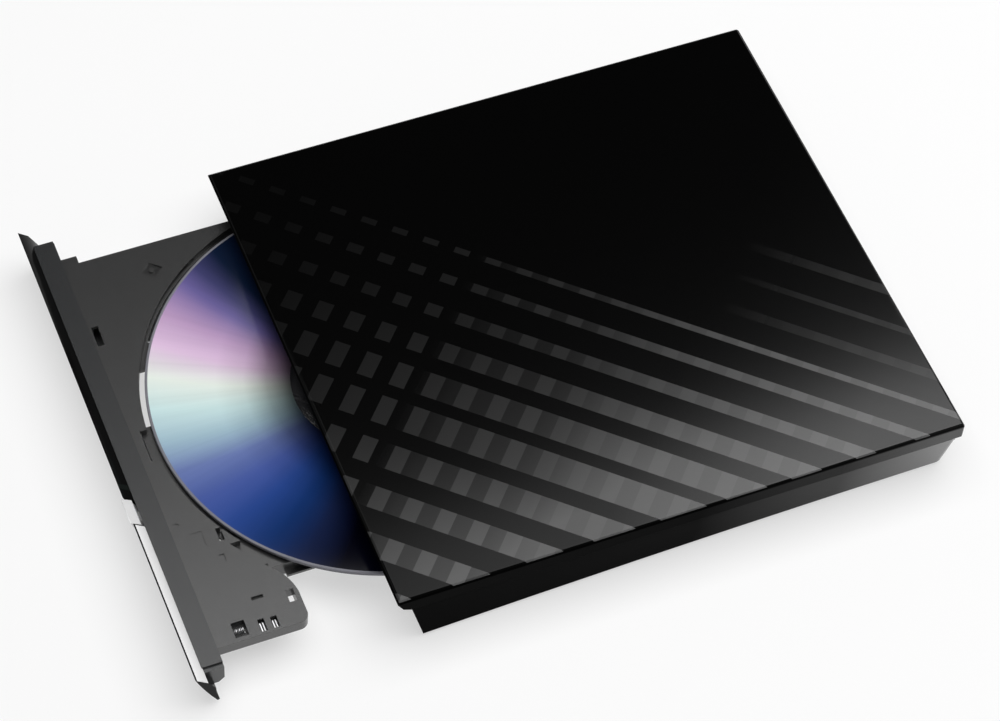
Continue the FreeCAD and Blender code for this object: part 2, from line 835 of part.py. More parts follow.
def make_front_panel():
    panel = panel_block(-panel_half, panel_half)
    drop = panel_top - panel_low
    for side in (1, -1):
        wedge = bar_y([(side * (panel_half + 1), panel_top), (side * panel_half, panel_top),
                       (side * (panel_half - panel_taper), panel_top - drop), (side * (panel_half + 1),
                                                                               panel_top - drop)],
                      -20, 5)
        panel = panel.cut(wedge)
    tools = [button_slot(button_gap),
             box(led_x - led_width / 2, led_x + led_width / 2, -20, 5, led_low, case_height)]
    tools.append(rod_y(eject_hole_radius, eject_hole_x, -20, 5, eject_hole_z))
    return moved(cut(panel, tools), 0, tray_y)


def bar_y(points, y0, y1):
    """A bar along Y of the section given as (x, z) points."""
    wire = Part.makePolygon([vec(x, y0, z) for x, z in points + points[:1]])
    return Part.Face(wire).extrude(vec(0, y1 - y0, 0))


def make_bezel():
    """Matt bezel moulding behind the panel: a channel open at the back, with clips into the tray."""
    lean = (panel_top_y + strip_depth, panel_top - strip_drop)
    share = (lean[1] - bezel_top) / (lean[1] - panel_knee_z)
    top_y = lean[0] + share * (panel_knee_y - lean[0])
    section = [(top_y, bezel_top), (panel_knee_y, panel_knee_z), (panel_shin_y, bezel_low),
               (-1.5, bezel_low),
               (0, bezel_low + 1.5), (0, bezel_top)]
    body = bar(section, -bezel_half, bezel_half)
    step = 1.2
    for side in (1, -1):
        x0, x1 = sorted((side * (bezel_half - step), side * (bezel_half + 1)))
        body = body.cut(box(x0, x1, -20, 5, bezel_top - 0.7, bezel_top + 1))
    inner = [(panel_knee_y + bezel_wall + 0.2, bezel_low + bezel_wall), (0.5, bezel_low + bezel_wall),
             (0.5, bezel_top - bezel_wall), (panel_knee_y + bezel_wall - 0.5, bezel_top - bezel_wall)]
    pockets = []
    for x0, x1 in ((-67.0, -41.0), (-39.6, -21.0), (-19.6, 6.0), (7.4, 15.0), (25.6, 44.0), (45.4, 67.0)):
        pockets.append(bar(inner, x0, x1))
    pockets.append(box(button_x - button_width / 2 - 0.3, button_x + button_width / 2 + 0.3, -20, -1.6,
                       button_low - 0.3, bezel_top - bezel_wall))
    pockets.append(box(button_x - stem_width / 2 - 0.2, button_x + stem_width / 2 + 0.2, -20, 5,
                       stem_low - 0.2, stem_high + 0.2))
    pockets.append(rod_y(eject_hole_radius + 0.1, eject_hole_x, -20, 5, eject_hole_z))
    pockets.append(box(led_x - led_width / 2, led_x + led_width / 2, -20, 5, led_low - 2.2,
                       led_low - 0.9))
    nose = tray_wall + 0.1
    clips = [box(x, x + clip_width, -2.5, nose + 1.2, clip_low, clip_low + 1.0) for x in clip_places()]
    noses = [box(x, x + clip_width, nose, nose + 1.2, clip_low - 0.6, clip_low) for x in clip_places()]
    body = cut(body, pockets)
    return moved(fuse([body] + clips + noses), 0, tray_y)


def clip_places():
    return (-52.0, -12.0, 38.0)


def make_eject_button():
    """Button cap that follows the panel's section, proud of it, with a stem to the switch."""
    half = button_width / 2
    cap = panel_block(button_x - half, button_x + half, button_proud)
    cap = cap.common(box(button_x - half, button_x + half, -20, 5, button_low, case_height))
    back = bar([(panel_top_y + strip_depth + 3, panel_top - strip_drop), (panel_knee_y + 3, panel_knee_z),
                (panel_knee_y + 6, 0), (5, 0), (5,
                                                case_height)], button_x - half - 1, button_x + half + 1)
    cap = cap.cut(moved(back, 0, -3 - button_travel - 0.2))
    stem = box(button_x - stem_width / 2, button_x + stem_width / 2, panel_knee_y - 3.0, switch_face(),
               stem_low, stem_high)
    return moved(fuse([cap, stem]), 0, tray_y)


def switch_face():
    """Front face of the switch's plunger, which moves with the button."""
    return switch_front - button_travel - 0.1


def make_led_pipe():
    """Clear light pipe that shows in the strip beside the button."""
    half = led_width / 2 - 0.05
    pipe = panel_block(led_x - half,
                       led_x + half).common(box(-100, 100, -20, 5, led_low + 0.05, case_height))
    return moved(pipe, 0, tray_y)


# Pieces under the tray's front: board, switch, latch

def make_tray_board():
    board = box(board_left, board_right, board_front, board_front + board_depth, board_low,
                board_low + board_thick)
    board = board.cut(box(18.0, 24.0, board_front + 6.0, board_front + board_depth + 1, 0, case_height))
    return moved(board, 0, tray_y)


def make_eject_switch():
    low = board_low + board_thick
    half = switch_width / 2
    body = box(button_x - half, button_x + half, switch_front, switch_front + switch_depth, low,
               tray_top - tray_plate - 0.2)
    return moved(body.cut(plunger_block(0.05, switch_front - 1, switch_front + 1.1)), 0, tray_y)


def plunger_block(gap, y0, y1):
    half = plunger_width / 2 + gap
    middle = (stem_low + stem_high) / 2
    rise = plunger_height / 2 + gap
    return box(button_x - half, button_x + half, y0, y1, middle - rise, middle + rise)


def make_switch_plunger():
    return moved(plunger_block(0, switch_face(), switch_front + 0.4), 0, tray_y)


def make_board_parts():
    low = board_low
    parts = [box(8.0, 12.0, board_front + 4.0, board_front + 8.0, low - 0.8, low),
             box(14.0, 16.5, board_front + 3.0, board_front + 5.0, low - 0.6, low),
             box(9.0, 16.0, board_front + 8.2, board_front + 9.8, low - 0.9, low)]
    for k in range(3):
        parts.append(box(24.8, 26.4, board_front + 2.0 + 2.4 * k, board_front + 2.8 + 2.4 * k,
                         low - 0.5, low))
    return moved(Part.makeCompound(parts), 0, tray_y)


def make_latch_lever():
    """Hook lever at its latched angle, its nose behind the catch post when the tray is shut."""
    z0, z1 = latch_low, latch_low + latch_thick
    nose_y = catch_from_front + catch_radius + catch_gap
    nose_x = catch_x - 0.7
    arm = plate([(latch_x - 1.9, latch_y), (latch_x + 1.2, latch_y + 1.5), (latch_x + 0.4, nose_y + 2.6),
                 (nose_x + 1.2, nose_y + 2.6), (nose_x, nose_y + 1.0), (nose_x, nose_y),
                 (latch_x - 2.6, nose_y), (latch_x - 2.6, latch_y + 1.0)], z0, z1)
    tail = plate([(latch_x, latch_y - 1.7), (latch_x + 5.0, latch_y + 0.6),
                  (latch_x + 4.6, latch_y + 2.2),
                  (latch_x, latch_y + 1.9)], z0, z1)
    lever = fuse([arm, tail, peg(latch_bush_radius, latch_x, latch_y, z0, z1 + 0.6)])
    lever = lever.cut(cyl(latch_pin_radius + shaft_gap, latch_x, latch_y, 0, case_height))
    return moved(lever, 0, tray_y)


def make_latch_pin():
    pin = cyl(latch_pin_radius, latch_x, latch_y, skirt_low, tray_floor_low)
    return moved(pin, 0, tray_y)


def make_solenoid():
    z0, z1 = skirt_low + 0.1, tray_floor_low - 0.1
    x0 = solenoid_x
    body = box(x0, x0 + 8.0, solenoid_y, solenoid_y + 10.0, z0, z1)
    coil = rod_y(1.7, x0 + 4.0, solenoid_y - 2.2, solenoid_y, (z0 + z1) / 2)
    return moved(body.fuse(coil), 0, tray_y)


def make_catch_post():
    y = seam_closed + catch_from_front
    return fuse([peg(catch_radius, catch_x, y, pan_top, catch_high),
                 peg(catch_radius + 1.0, catch_x, y, pan_top, pan_top + 0.2)])


# Spindle and disc, about the spindle axis

def revolve(points, x, y):
    """A turned piece from (radius, z) points about the upright axis at x, y."""
    wire = Part.makePolygon([vec(r, 0, z) for r, z in points + points[:1]])
    return moved(Part.Face(wire).revolve(vec(0, 0, 0), vec(0, 0, 1), 360), x, y)


def make_disc():
    high = disc_low + disc_thick
    points = [(disc_bore, disc_low), (disc_radius, disc_low), (disc_radius, high), (disc_bore, high)]
    return revolve(points, mech_x, spindle_y)


def make_turntable():
    """Rotor of the spindle motor with the hub that centres the disc, turned in one piece with its shaft."""
    hub = disc_bore - hub_gap
    top = disc_low + disc_thick + hub_rise
    rotor_top = rotor_low + rotor_height
    points = [(0, shaft_low), (spindle_shaft, shaft_low), (spindle_shaft, rotor_low),
              (rotor_radius, rotor_low),
              (rotor_radius, rotor_top), (hub, rotor_top), (hub,
                                                            disc_low + disc_thick - 0.1), (hub - 1.3,
                                                                                           top), (0, top)]
    body = revolve(points, mech_x, spindle_y)
    slots = []
    for k in range(3):
        half = claw_width / 2 + 0.1
        pocket = box(claw_back, hub + 1, -half, half, disc_low + 0.2, top + 1)
        pocket.rotate(vec(0, 0, 0), vec(0, 0, 1), claw_angle + 120 * k)
        slots.append(moved(pocket, mech_x, spindle_y))
    return cut(body, slots)


def make_turntable_pad():
    low = rotor_low + rotor_height
    pad = peg(pad_outer, mech_x, spindle_y, low, low + pad_thick, 32)
    return pad.cut(peg(pad_inner, mech_x, spindle_y, 0, case_height, 32))


def make_claw(number):
    """One of the three sprung claws in the hub's pockets that hold the disc down."""
    hub = disc_bore - hub_gap
    top = disc_low + disc_thick
    back = claw_back + claw_travel + 0.1
    half = claw_width / 2
    outline = [(back, disc_low + 0.3), (hub + 0.05, disc_low + 0.9), (hub + 0.05, top + 0.1),
               (hub - 0.6, top + 0.6),
               (back, top + 0.6)]
    wire = Part.makePolygon([vec(x, -half, z) for x, z in outline + outline[:1]])
    claw = Part.Face(wire).extrude(vec(0, claw_width, 0))
    claw.rotate(vec(0, 0, 0), vec(0, 0, 1), claw_angle + 120 * number)
    return moved(claw, mech_x, spindle_y)


def make_spindle_motor():
    high = stator_low + stator_height
    body = peg(stator_radius, 0, 0, stator_low, high,
               36).cut(cyl(spindle_shaft + shaft_gap, 0, 0, 0, case_height))
    slots = []
    for k in range(6):
        slot = box(6.6, stator_radius + 1, -0.6, 0.6, stator_low + 0.6, high + 1)
        slot.rotate(vec(0, 0, 0), vec(0, 0, 1), 30 + 60 * k)
        slots.append(slot)
    feet = [box(-stator_radius - 4.5, stator_radius + 2.0, -3.0, 3.0, traverse_low - 0.4, traverse_low)]
    feet[0] = feet[0].cut(cyl(stator_radius - 0.5, 0, 0, 0, case_height))
    links = [box(stator_radius - 1.2, stator_radius, -1.5, 1.5, stator_low + 1, traverse_low),
             box(-stator_radius, -stator_radius + 1.2, -1.5, 1.5, stator_low + 1, traverse_low)]
    shape = fuse([cut(body, slots)] + feet + links)
    return moved(traverse_place(shape), mech_x, tray_y)


# Traverse: plate, rods, screw, motor and pickup

def on_tray(shape):
    return moved(traverse_place(shape), mech_x, tray_y)


def make_traverse_plate():
    z0, z1 = traverse_low, traverse_low + traverse_thick
    half = traverse_half
    ear = half + ear_reach
    sheet = plate([(-traverse_back, -half + 4), (-traverse_back + 4, -half), (lead_end - 4.2, -half),
                   (lead_end - 3.6, -ear),
                   (lead_end - 0.4, -ear), (lead_end, -half), (traverse_reach - 2,
                                                               -half), (traverse_reach, -half + 2),
                   (traverse_reach, half - 2), (traverse_reach - 2, half), (43.0, half), (41.4, ear),
                   (36.6, ear), (35.0, half), (-traverse_back + 4, half), (-traverse_back,
                                                                           half - 4)], z0, z1)
    tools = [cyl(rotor_radius + 0.6, 0, 0, 0, case_height),
             box(rotor_radius - 2, lens_end() + sled_outward + 0.6, -sled_mid_half - 0.6,
                 sled_mid_half + 0.6, 0, case_height)]
    for x, y in damper_places():
        tools.append(peg(0.6, x, y, 0, case_height))
    return on_tray(cut(sheet, tools))


def lens_end():
    """Outermost place of the lens, so that the sled stops short of the rod clamps."""
    return traverse_reach - clamp_length - 0.3 - sled_outward


def make_dampers():
    """Rubber rings between the traverse plate and the tray's floor."""
    rings = []
    for x, y in damper_places():
        ring = peg(1.5, x, y, traverse_low + traverse_thick, tray_floor_low)
        rings.append(ring.cut(peg(0.6, x, y, 0, case_height)))
    return on_tray(Part.makeCompound(rings))


def make_traverse_screws():
    return on_tray(Part.makeCompound([screw_up(x, y, traverse_low - 0.5, 1.4, 0.45, 1.2, 0.5) for x,
                                      y in damper_places()]))


def rod_lines():
    return (rod_offset, -rod_offset)


def make_guide_rods():
    rods = [rod_x(rod_radius, rod_start, traverse_reach, y, rod_height) for y in rod_lines()]
    return on_tray(Part.makeCompound(rods))


def make_rod_clamps():
    clamps = []
    for y in rod_lines():
        for x0 in (rod_start, traverse_reach - clamp_length):
            block = box(x0, x0 + clamp_length, y - 1.2, y + 1.2, rod_height - 1.2, traverse_low)
            half = rod_radius + 0.01
            clamps.append(block.cut(box(x0 - 1, x0 + clamp_length + 1, y - half, y + half, 0,
                                        rod_height + half)))
    return on_tray(Part.makeCompound(clamps))


def make_pickup_sled():
    """Die-cast sled on the two rods, hollowed at its inner end to pass the hub."""
    x0, x1 = lens_home - sled_inward, lens_home + sled_outward
    low = box(x0, x1, -sled_half_width, sled_half_width, sled_low, sled_high)
    high = box(x0 + 1.0, x1 - 1.0, -sled_mid_half, sled_mid_half, sled_high, sled_top)
    sled = fuse([low, high])
    tools = [cyl(rotor_radius + 1.6, 0, 0, 0, case_height)]
    bore = rod_radius + rod_gap
    tools.append(rod_x(bore, x0 - 1, x1 + 1, rod_offset, rod_height))
    tools.append(rod_x(bore, x0 - 1, x1 + 1, -rod_offset, rod_height))
    tools.append(box(lens_home - 3.4, lens_home + 3.4, -actuator_half - 0.6, actuator_half + 0.6,
                     sled_top - 1.0, sled_top + 1))
    tools.append(peg(lens_radius + 0.3, lens_home, 0, sled_low - 1, sled_top + 1))
    tools.append(box(lens_home - 4.0, x1 - 2.5, 8.2, 11.4, sled_low + 1.2, sled_top + 1))
    return on_tray(cut(sled, tools))


def make_screw_nut():
    """Sprung nut on the sled's flank, half round the lead screw."""
    x0 = lens_home - sled_inward + 2.0
    block = box(x0, x0 + nut_length, screw_line, -sled_half_width, sled_low + 0.3, sled_high)
    return on_tray(block.cut(rod_x(lead_radius + nut_gap, x0 - 1, x0 + nut_length + 1, screw_line,
                                   screw_height)))


def make_lens_holder():
    x0 = lens_home - actuator_length / 2
    body = box(x0, x0 + actuator_length, -actuator_half, actuator_half, sled_top - 0.5, actuator_top)
    body = body.cut(peg(lens_radius, lens_home, 0, 0, case_height))
    return on_tray(body)


def make_objective_lens():
    low = sled_top - 0.4
    barrel = peg(lens_radius - 0.02, lens_home, 0, low, actuator_top)
    dome = peg(lens_radius - 0.6, lens_home, 0, actuator_top, lens_top)
    return on_tray(fuse([barrel, dome]))


def make_lead_screw():
    """Plain core of the lead screw; its fine thread is left to the looks."""
    return on_tray(rod_x(lead_radius, motor_start + 2.2, lead_end - 0.4, screw_line, screw_height))


def make_screw_bracket():
    """Bent bracket that carries the screw's outer bearing and the motor under the traverse plate."""
    bore = lead_radius + shaft_gap
    outer = box(lead_end - 3.0, lead_end - 1.4, screw_line - 1.7, -traverse_half - 0.2,
                screw_height - 1.4, traverse_low)
    outer = outer.cut(rod_x(bore, lead_end - 5, lead_end, screw_line, screw_height))
    start = motor_start + motor_length
    inner = box(start, start + 1.2, screw_line - 1.7, -traverse_half + 3.2, screw_height - 1.4,
                traverse_low)
    inner = inner.cut(rod_x(bore, start - 1, start + 3, screw_line, screw_height))
    return on_tray(Part.makeCompound([outer, inner]))


def make_sled_motor():
    """Flattened stepper can under the disc floor."""
    can = rod_x(motor_radius, motor_start, motor_start + motor_length, screw_line, screw_height)
    flat = box(motor_start - 1, motor_start + motor_length + 1, screw_line - 9, screw_line + 9,
               screw_height - motor_half_height, screw_height + motor_half_height)
    can = can.common(flat)
    socket = rod_x(lead_radius + shaft_gap, motor_start + 2.0, motor_start + motor_length + 1,
                   screw_line, screw_height)
    return on_tray(can.cut(socket))


# Electronics behind the mechanism

def main_board_rear():
    return chassis_rear - chassis_sheet - 0.4


def make_main_board():
    rear = main_board_rear()
    x0 = mech_x + tray_left + tray_wall + 0.6
    x1 = mech_x + tray_right - tray_wall - 0.6
    front = rear - main_board_depth
    return plate([(x0, rear), (x0, front + 8.0), (x0 + 14.0, front), (x1 - 20.0, front),
                  (x1, front + 12.0), (x1, rear)],
                 main_board_low, main_board_low + main_board_thick)


def make_main_board_parts():
    low = main_board_low + main_board_thick
    rear = main_board_rear()
    parts = [box(-22.0, -10.0, rear - 22.0, rear - 10.0, low, low + 1.1),
             box(-44.0, -34.0, rear - 16.0, rear - 10.0, low, low + 0.9),
             box(-4.0, 6.0, rear - 21.0, rear - 18.0, low, low + 1.2)]
    for k in range(6):
        parts.append(box(10.0 + 3.2 * k, 12.0 + 3.2 * k, rear - 22.0, rear - 20.8, low, low + 0.6))
    return Part.makeCompound(parts)


def make_board_pads():
    """Insulating pads that hold the main board off the pan."""
    rear = main_board_rear()
    return Part.makeCompound([peg(2.0, x, rear - 4.0, pan_top, main_board_low) for x in (-50.0, -10.0,
                                                                                         38.0)])


def sata_low():
    return main_board_low + main_board_thick


def make_drive_plug():
    """Edge plug of the drive, through the pan's rear wall."""
    low = sata_low()
    x0, x1 = sata_x - sata_width / 2, sata_x + sata_width / 2
    foot = box(x0, x1, main_board_rear() - 5.0, chassis_rear - 1.0, low, low + 1.2)
    body = box(x0, x1, chassis_rear - 1.0, chassis_rear + 0.8, low, low + sata_height)
    pocket = box(x0 + 0.8, x1 - 0.8, chassis_rear - 0.2, chassis_rear + 1, low + 0.8,
                 low + sata_height - 0.8)
    tongue = box(x0 + 1.6, x1 - 1.6, chassis_rear - 0.4, chassis_rear + 0.6, low + 1.6,
                 low + sata_height - 1.6)
    return fuse([foot, body.cut(pocket), tongue])


def make_bridge_board():
    board = box(-bridge_half, bridge_half, bridge_front, bridge_front + bridge_depth, bridge_low,
                bridge_low + bridge_thick)
    holes = [peg(screw_hole, x, bridge_front + 8.0, 0, case_height) for x in bridge_screw_x()]
    return cut(board, holes)


def make_bridge_screws():
    low = bridge_low + bridge_thick
    screws = []
    for x in bridge_screw_x():
        y = bridge_front + 8.0
        screws.append(peg(screw_head_radius, x, y, low,
                          low + 0.8).fuse(peg(screw_radius - 0.02, x, y, floor_top - 0.4, low)))
    return Part.makeCompound(screws)


def make_bridge_parts():
    low = bridge_low + bridge_thick
    y = bridge_front + 3.0
    parts = [box(-14.0, -7.0, y, y + 7.0, low, low + 1.0), box(-26.0, -22.5, y, y + 3.0, low, low + 0.8)]
    parts += [peg(2.0, x, y + 2.0, low, low + 5.5) for x in (-4.6, 0.2)]
    for k in range(5):
        parts.append(box(-4.0 + 2.4 * k, -2.6 + 2.4 * k, y + 8.0, y + 8.8, low, low + 0.6))
    return Part.makeCompound(parts)


def make_drive_socket():
    """Socket of the bridge board that takes the drive's plug."""
    low = sata_low() - 0.2
    x0, x1 = sata_x - sata_width / 2 - 1.0, sata_x + sata_width / 2 + 1.0
    y0 = chassis_rear + 0.8
    body = box(x0, x1, y0, bridge_front + 4.0, low, low + sata_height + 0.6)
    foot = box(x0, x1, bridge_front + 0.4, bridge_front + 4.0, bridge_low + bridge_thick, low)
    slot = box(x0 + 2.0, x1 - 2.0, y0 - 1, y0 + 1.4, low + 1.8, low + sata_height - 1.2)
    return fuse([body, foot]).cut(slot)


def usb_low():
    return bridge_low + bridge_thick


def make_usb_shell():
    """Folded metal shell of the five-pin socket, its lower corners drawn in."""
    rear = case_depth - usb_flush
    z0 = usb_low()
    half = usb_width / 2
    w = half - 1.0
    section = [(usb_x - w, z0), (usb_x + w, z0), (usb_x + half, z0 + 1.3),
               (usb_x + half, z0 + usb_height),
               (usb_x - half, z0 + usb_height), (usb_x - half, z0 + 1.3)]
    t = usb_sheet
    inner = [(usb_x - w + 0.1, z0 + t), (usb_x + w - 0.1, z0 + t), (usb_x + half - t, z0 + 1.3 + 0.1),
             (usb_x + half - t, z0 + usb_height - t), (usb_x - half + t,
                                                       z0 + usb_height - t), (usb_x - half + t,
                                                                              z0 + 1.3 + 0.1)]
    shell = bar_y(section, rear - usb_depth, rear)
    return shell.cut(bar_y(inner, rear - usb_depth + 0.4, rear + 1))


def make_usb_tongue():
    rear = case_depth - usb_flush
    z0 = usb_low() + usb_sheet
    core = box(usb_x - 2.4, usb_x + 2.4, rear - usb_depth + 0.4, rear - 6.4, z0, z0 + 2.6)
    tongue = box(usb_x - 1.9, usb_x + 1.9, rear - 6.4, rear - 1.2, z0 + 1.2, z0 + 2.1)
    return core.fuse(tongue)


NODES = {
    "top_cover": make_top_cover,
    "bottom_shell": make_bottom_shell,
    "rubber_feet": make_rubber_feet,
    "case_screws": make_case_screws,
    "chassis_screws": make_chassis_screws,
    "chassis_pan": make_chassis_pan,
    "chassis_lid": make_chassis_lid,
    "rail_guide_left": lambda: make_rail_guide(-1),
    "rail_guide_right": lambda: make_rail_guide(1),
    "rail_left": lambda: make_rail(-1),
    "rail_right": lambda: make_rail(1),
    "catch_post": make_catch_post,
    "main_board": make_main_board,
    "main_board_parts": make_main_board_parts,
    "board_pads": make_board_pads,
    "drive_plug": make_drive_plug,
    "bridge_board": make_bridge_board,
    "bridge_parts": make_bridge_parts,
    "bridge_screws": make_bridge_screws,
    "drive_socket": make_drive_socket,
    "usb_shell": make_usb_shell,
    "usb_tongue": make_usb_tongue,
    "tray": make_tray,
    "tray_base_plate": make_base_plate,
    "base_screws": make_base_screws,
    "bezel": make_bezel,
    "front_panel": make_front_panel,
    "led_pipe": make_led_pipe,
    "eject_button": make_eject_button,
    "tray_board": make_tray_board,
    "tray_board_parts": make_board_parts,
    "eject_switch": make_eject_switch,
    "switch_plunger": make_switch_plunger,
    "latch_lever": make_latch_lever,
    "latch_pin": make_latch_pin,
    "latch_solenoid": make_solenoid,
    "traverse_plate": make_traverse_plate,
    "traverse_dampers": make_dampers,
    "traverse_screws": make_traverse_screws,
    "guide_rods": make_guide_rods,
    "rod_clamps": make_rod_clamps,
    "spindle_motor": make_spindle_motor,
    "sled_motor": make_sled_motor,
    "screw_bracket": make_screw_bracket,
    "lead_screw": make_lead_screw,
    "pickup_sled": make_pickup_sled,
    "screw_nut": make_screw_nut,
    "lens_holder": make_lens_holder,
    "objective_lens": make_objective_lens,
    "turntable": make_turntable,
    "turntable_pad": make_turntable_pad,
    "chuck_claw_a": lambda: make_claw(0),
    "chuck_claw_b": lambda: make_claw(1),
    "chuck_claw_c": lambda: make_claw(2),
    "disc": make_disc,
}


def save_all():
    os.makedirs("parts", exist_ok=True)
    front = tray_y + panel_top_y - button_proud
    middle = (front + case_depth) / 2
    for name, make in NODES.items():
        shape = moved(make(), 0, -middle)
        shape.exportStep("parts/" + name + ".step")
        print(name, "solids", len(shape.Solids), "valid", shape.isValid(), "volume",
              round(shape.Volume, 1))


save_all()
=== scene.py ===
import math

import bmesh
import bpy
from mathutils import Matrix, Vector


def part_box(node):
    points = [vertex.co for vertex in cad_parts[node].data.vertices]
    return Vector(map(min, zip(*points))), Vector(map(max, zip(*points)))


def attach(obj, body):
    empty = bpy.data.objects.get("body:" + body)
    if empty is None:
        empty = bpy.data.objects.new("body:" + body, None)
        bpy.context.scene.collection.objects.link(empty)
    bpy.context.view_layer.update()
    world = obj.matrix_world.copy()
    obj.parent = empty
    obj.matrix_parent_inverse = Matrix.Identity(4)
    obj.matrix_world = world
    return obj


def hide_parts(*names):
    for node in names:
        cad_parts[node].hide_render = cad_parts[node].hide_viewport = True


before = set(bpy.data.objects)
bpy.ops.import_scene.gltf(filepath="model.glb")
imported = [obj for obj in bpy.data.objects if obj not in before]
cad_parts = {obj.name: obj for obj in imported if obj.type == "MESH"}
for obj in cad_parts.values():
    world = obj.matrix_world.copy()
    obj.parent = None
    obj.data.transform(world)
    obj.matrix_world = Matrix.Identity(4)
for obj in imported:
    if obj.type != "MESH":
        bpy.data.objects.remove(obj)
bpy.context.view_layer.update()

# Camera and room.
# The drive is shown from above its left front, on a plain pale table,
# under one large soft panel that hangs over its right half.
eye = bpy.data.objects.new("camera", bpy.data.cameras.new("camera"))
bpy.context.scene.collection.objects.link(eye)
bpy.context.scene.camera = eye
eye.data.lens = 120.558
eye.data.sensor_width = 36
picture_right = Vector((0.37153941, 0.92710981, 0.0492531))
picture_down = Vector((0.76543559, -0.27586212, -0.58138494))
picture_depth = Vector((-0.52542062, 0.25370749, -0.81213649))
eye_turn = Matrix((picture_right, -picture_down, -picture_depth)).transposed().to_4x4()
eye_place = (0.463133, -0.218408, 0.717339)
eye.matrix_world = Matrix.Translation(eye_place) @ eye_turn
bpy.context.scene.view_settings.view_transform = "Standard"


def plain_material(name, colour, roughness, metallic=0.0, specular=0.5):
    """A material with one Principled shader and its numbers on the shader's own sockets."""
    made = bpy.data.materials.new(name)
    made.use_nodes = True
    shader = made.node_tree.nodes["Principled BSDF"]
    shader.inputs["Base Color"].default_value = (*colour, 1)
    shader.inputs["Roughness"].default_value = roughness
    shader.inputs["Metallic"].default_value = metallic
    shader.inputs["Specular IOR Level"].default_value = specular
    return made


def node(tree, kind, **settings):
    """A node of that kind in the tree; its inputs are numbers or other nodes' output sockets."""
    made = tree.nodes.new(kind)
    inputs = settings.pop("inputs", {})
    for key, value in settings.items():
        setattr(made, key, value)
    for name, value in inputs.items():
        if isinstance(value, bpy.types.NodeSocket):
            tree.links.new(value, made.inputs[name])
        else:
            made.inputs[name].default_value = value
    return made


def math_node(tree, operation, *operands):
    """The output of a Math node; each operand is a number or an output socket."""
    return node(tree, "ShaderNodeMath", operation=operation, inputs=dict(enumerate(operands))).outputs[0]


floor_reach = 6.0
floor_mesh = bpy.data.meshes.new("floor")
floor_corners = [(-floor_reach, -floor_reach, 0), (floor_reach, -floor_reach, 0),
                 (floor_reach, floor_reach, 0), (-floor_reach, floor_reach, 0)]
floor_mesh.from_pydata(floor_corners, [], [(0, 1, 2, 3)])
floor = bpy.data.objects.new("floor", floor_mesh)
bpy.context.scene.collection.objects.link(floor)
table_white = plain_material("table_white", (0.95, 0.95, 0.95), 0.8, specular=0.2)
table = table_white.node_tree
seen_glow = 0.55
glow = node(table, "ShaderNodeEmission", inputs={"Strength": 1.0})
seen = node(table, "ShaderNodeLightPath")
seen_or_mirrored = math_node(table, "MAXIMUM", seen.outputs["Is Camera Ray"], seen.outputs["Is Glossy Ray"])
any_view = math_node(table, "MAXIMUM", seen_or_mirrored, seen.outputs["Is Transmission Ray"])
table_mix = node(table, "ShaderNodeMixShader", inputs={
    "Fac": math_node(table, "MULTIPLY", any_view, seen_glow),
    1: table.nodes["Principled BSDF"].outputs["BSDF"], 2: glow.outputs["Emission"]})
from_below = node(table, "ShaderNodeNewGeometry")
clear_below = node(table, "ShaderNodeBsdfTransparent")
below_mix = node(table, "ShaderNodeMixShader", inputs={
    "Fac": from_below.outputs["Backfacing"], 1: table_mix.outputs["Shader"],
    2: clear_below.outputs["BSDF"]})
table.links.new(below_mix.outputs["Shader"], table.nodes["Material Output"].inputs["Surface"])
floor_mesh.materials.append(table_white)

panel_light = bpy.data.objects.new("soft_panel", bpy.data.lights.new("soft_panel", "AREA"))
bpy.context.scene.collection.objects.link(panel_light)
panel_light.data.shape = "RECTANGLE"
panel_light.data.size = 1.17
panel_light.data.size_y = 1.7
panel_light.data.energy = 18.0
panel_light.location = (0.0, 0.3, 1.1)

world = bpy.data.worlds.new("room")
bpy.context.scene.world = world
world.use_nodes = True
sky = world.node_tree


def ramp_node(tree, value, stops, interpolation="LINEAR"):
    """A colour ramp on the socket value. Stops are (position, grey or colour)."""
    made = node(tree, "ShaderNodeValToRGB", inputs={"Fac": value})
    made.color_ramp.interpolation = interpolation
    elements = made.color_ramp.elements
    while len(elements) < len(stops):
        elements.new(1.0)
    for element, (position, shade) in zip(elements, stops):
        element.position = position
        element.color = (shade, shade, shade, 1) if isinstance(shade, (int, float)) else (*shade, 1)
    return made.outputs["Color"]


sky_direction = node(sky, "ShaderNodeTexCoord")
sky_parts = node(sky, "ShaderNodeSeparateXYZ", inputs={"Vector": sky_direction.outputs["Generated"]})
sky_shade = ramp_node(sky, sky_parts.outputs["Z"], [(0.05, 0.6), (0.6, (0.005, 0.005, 0.0055))])
sky.links.new(sky_shade, sky.nodes["Background"].inputs["Color"])
sky.nodes["Background"].inputs["Strength"].default_value = 1.0

# Top cover.
# One injection moulding in gloss black, with a low brow over the tray and straight sides.
# Its top carries a printed pattern of crossing bands. Their brightness is painted highlight from the soft
# panel's reflection: it comes up towards the right and the near corner and fades on the left.


def effect(name, inputs, outputs, kind="ShaderNodeTree"):
    """An empty node group, its sockets given as (name, kind, value), and its two end nodes."""
    tree = bpy.data.node_groups.new(name, kind)
    for socket, sort, value in inputs:
        made = tree.interface.new_socket(socket, in_out="INPUT", socket_type="NodeSocket" + sort)
        if value is not None:
            made.default_value = value
    for socket, sort in outputs:
        tree.interface.new_socket(socket, in_out="OUTPUT", socket_type="NodeSocket" + sort)
    return tree, tree.nodes.new("NodeGroupInput"), tree.nodes.new("NodeGroupOutput")


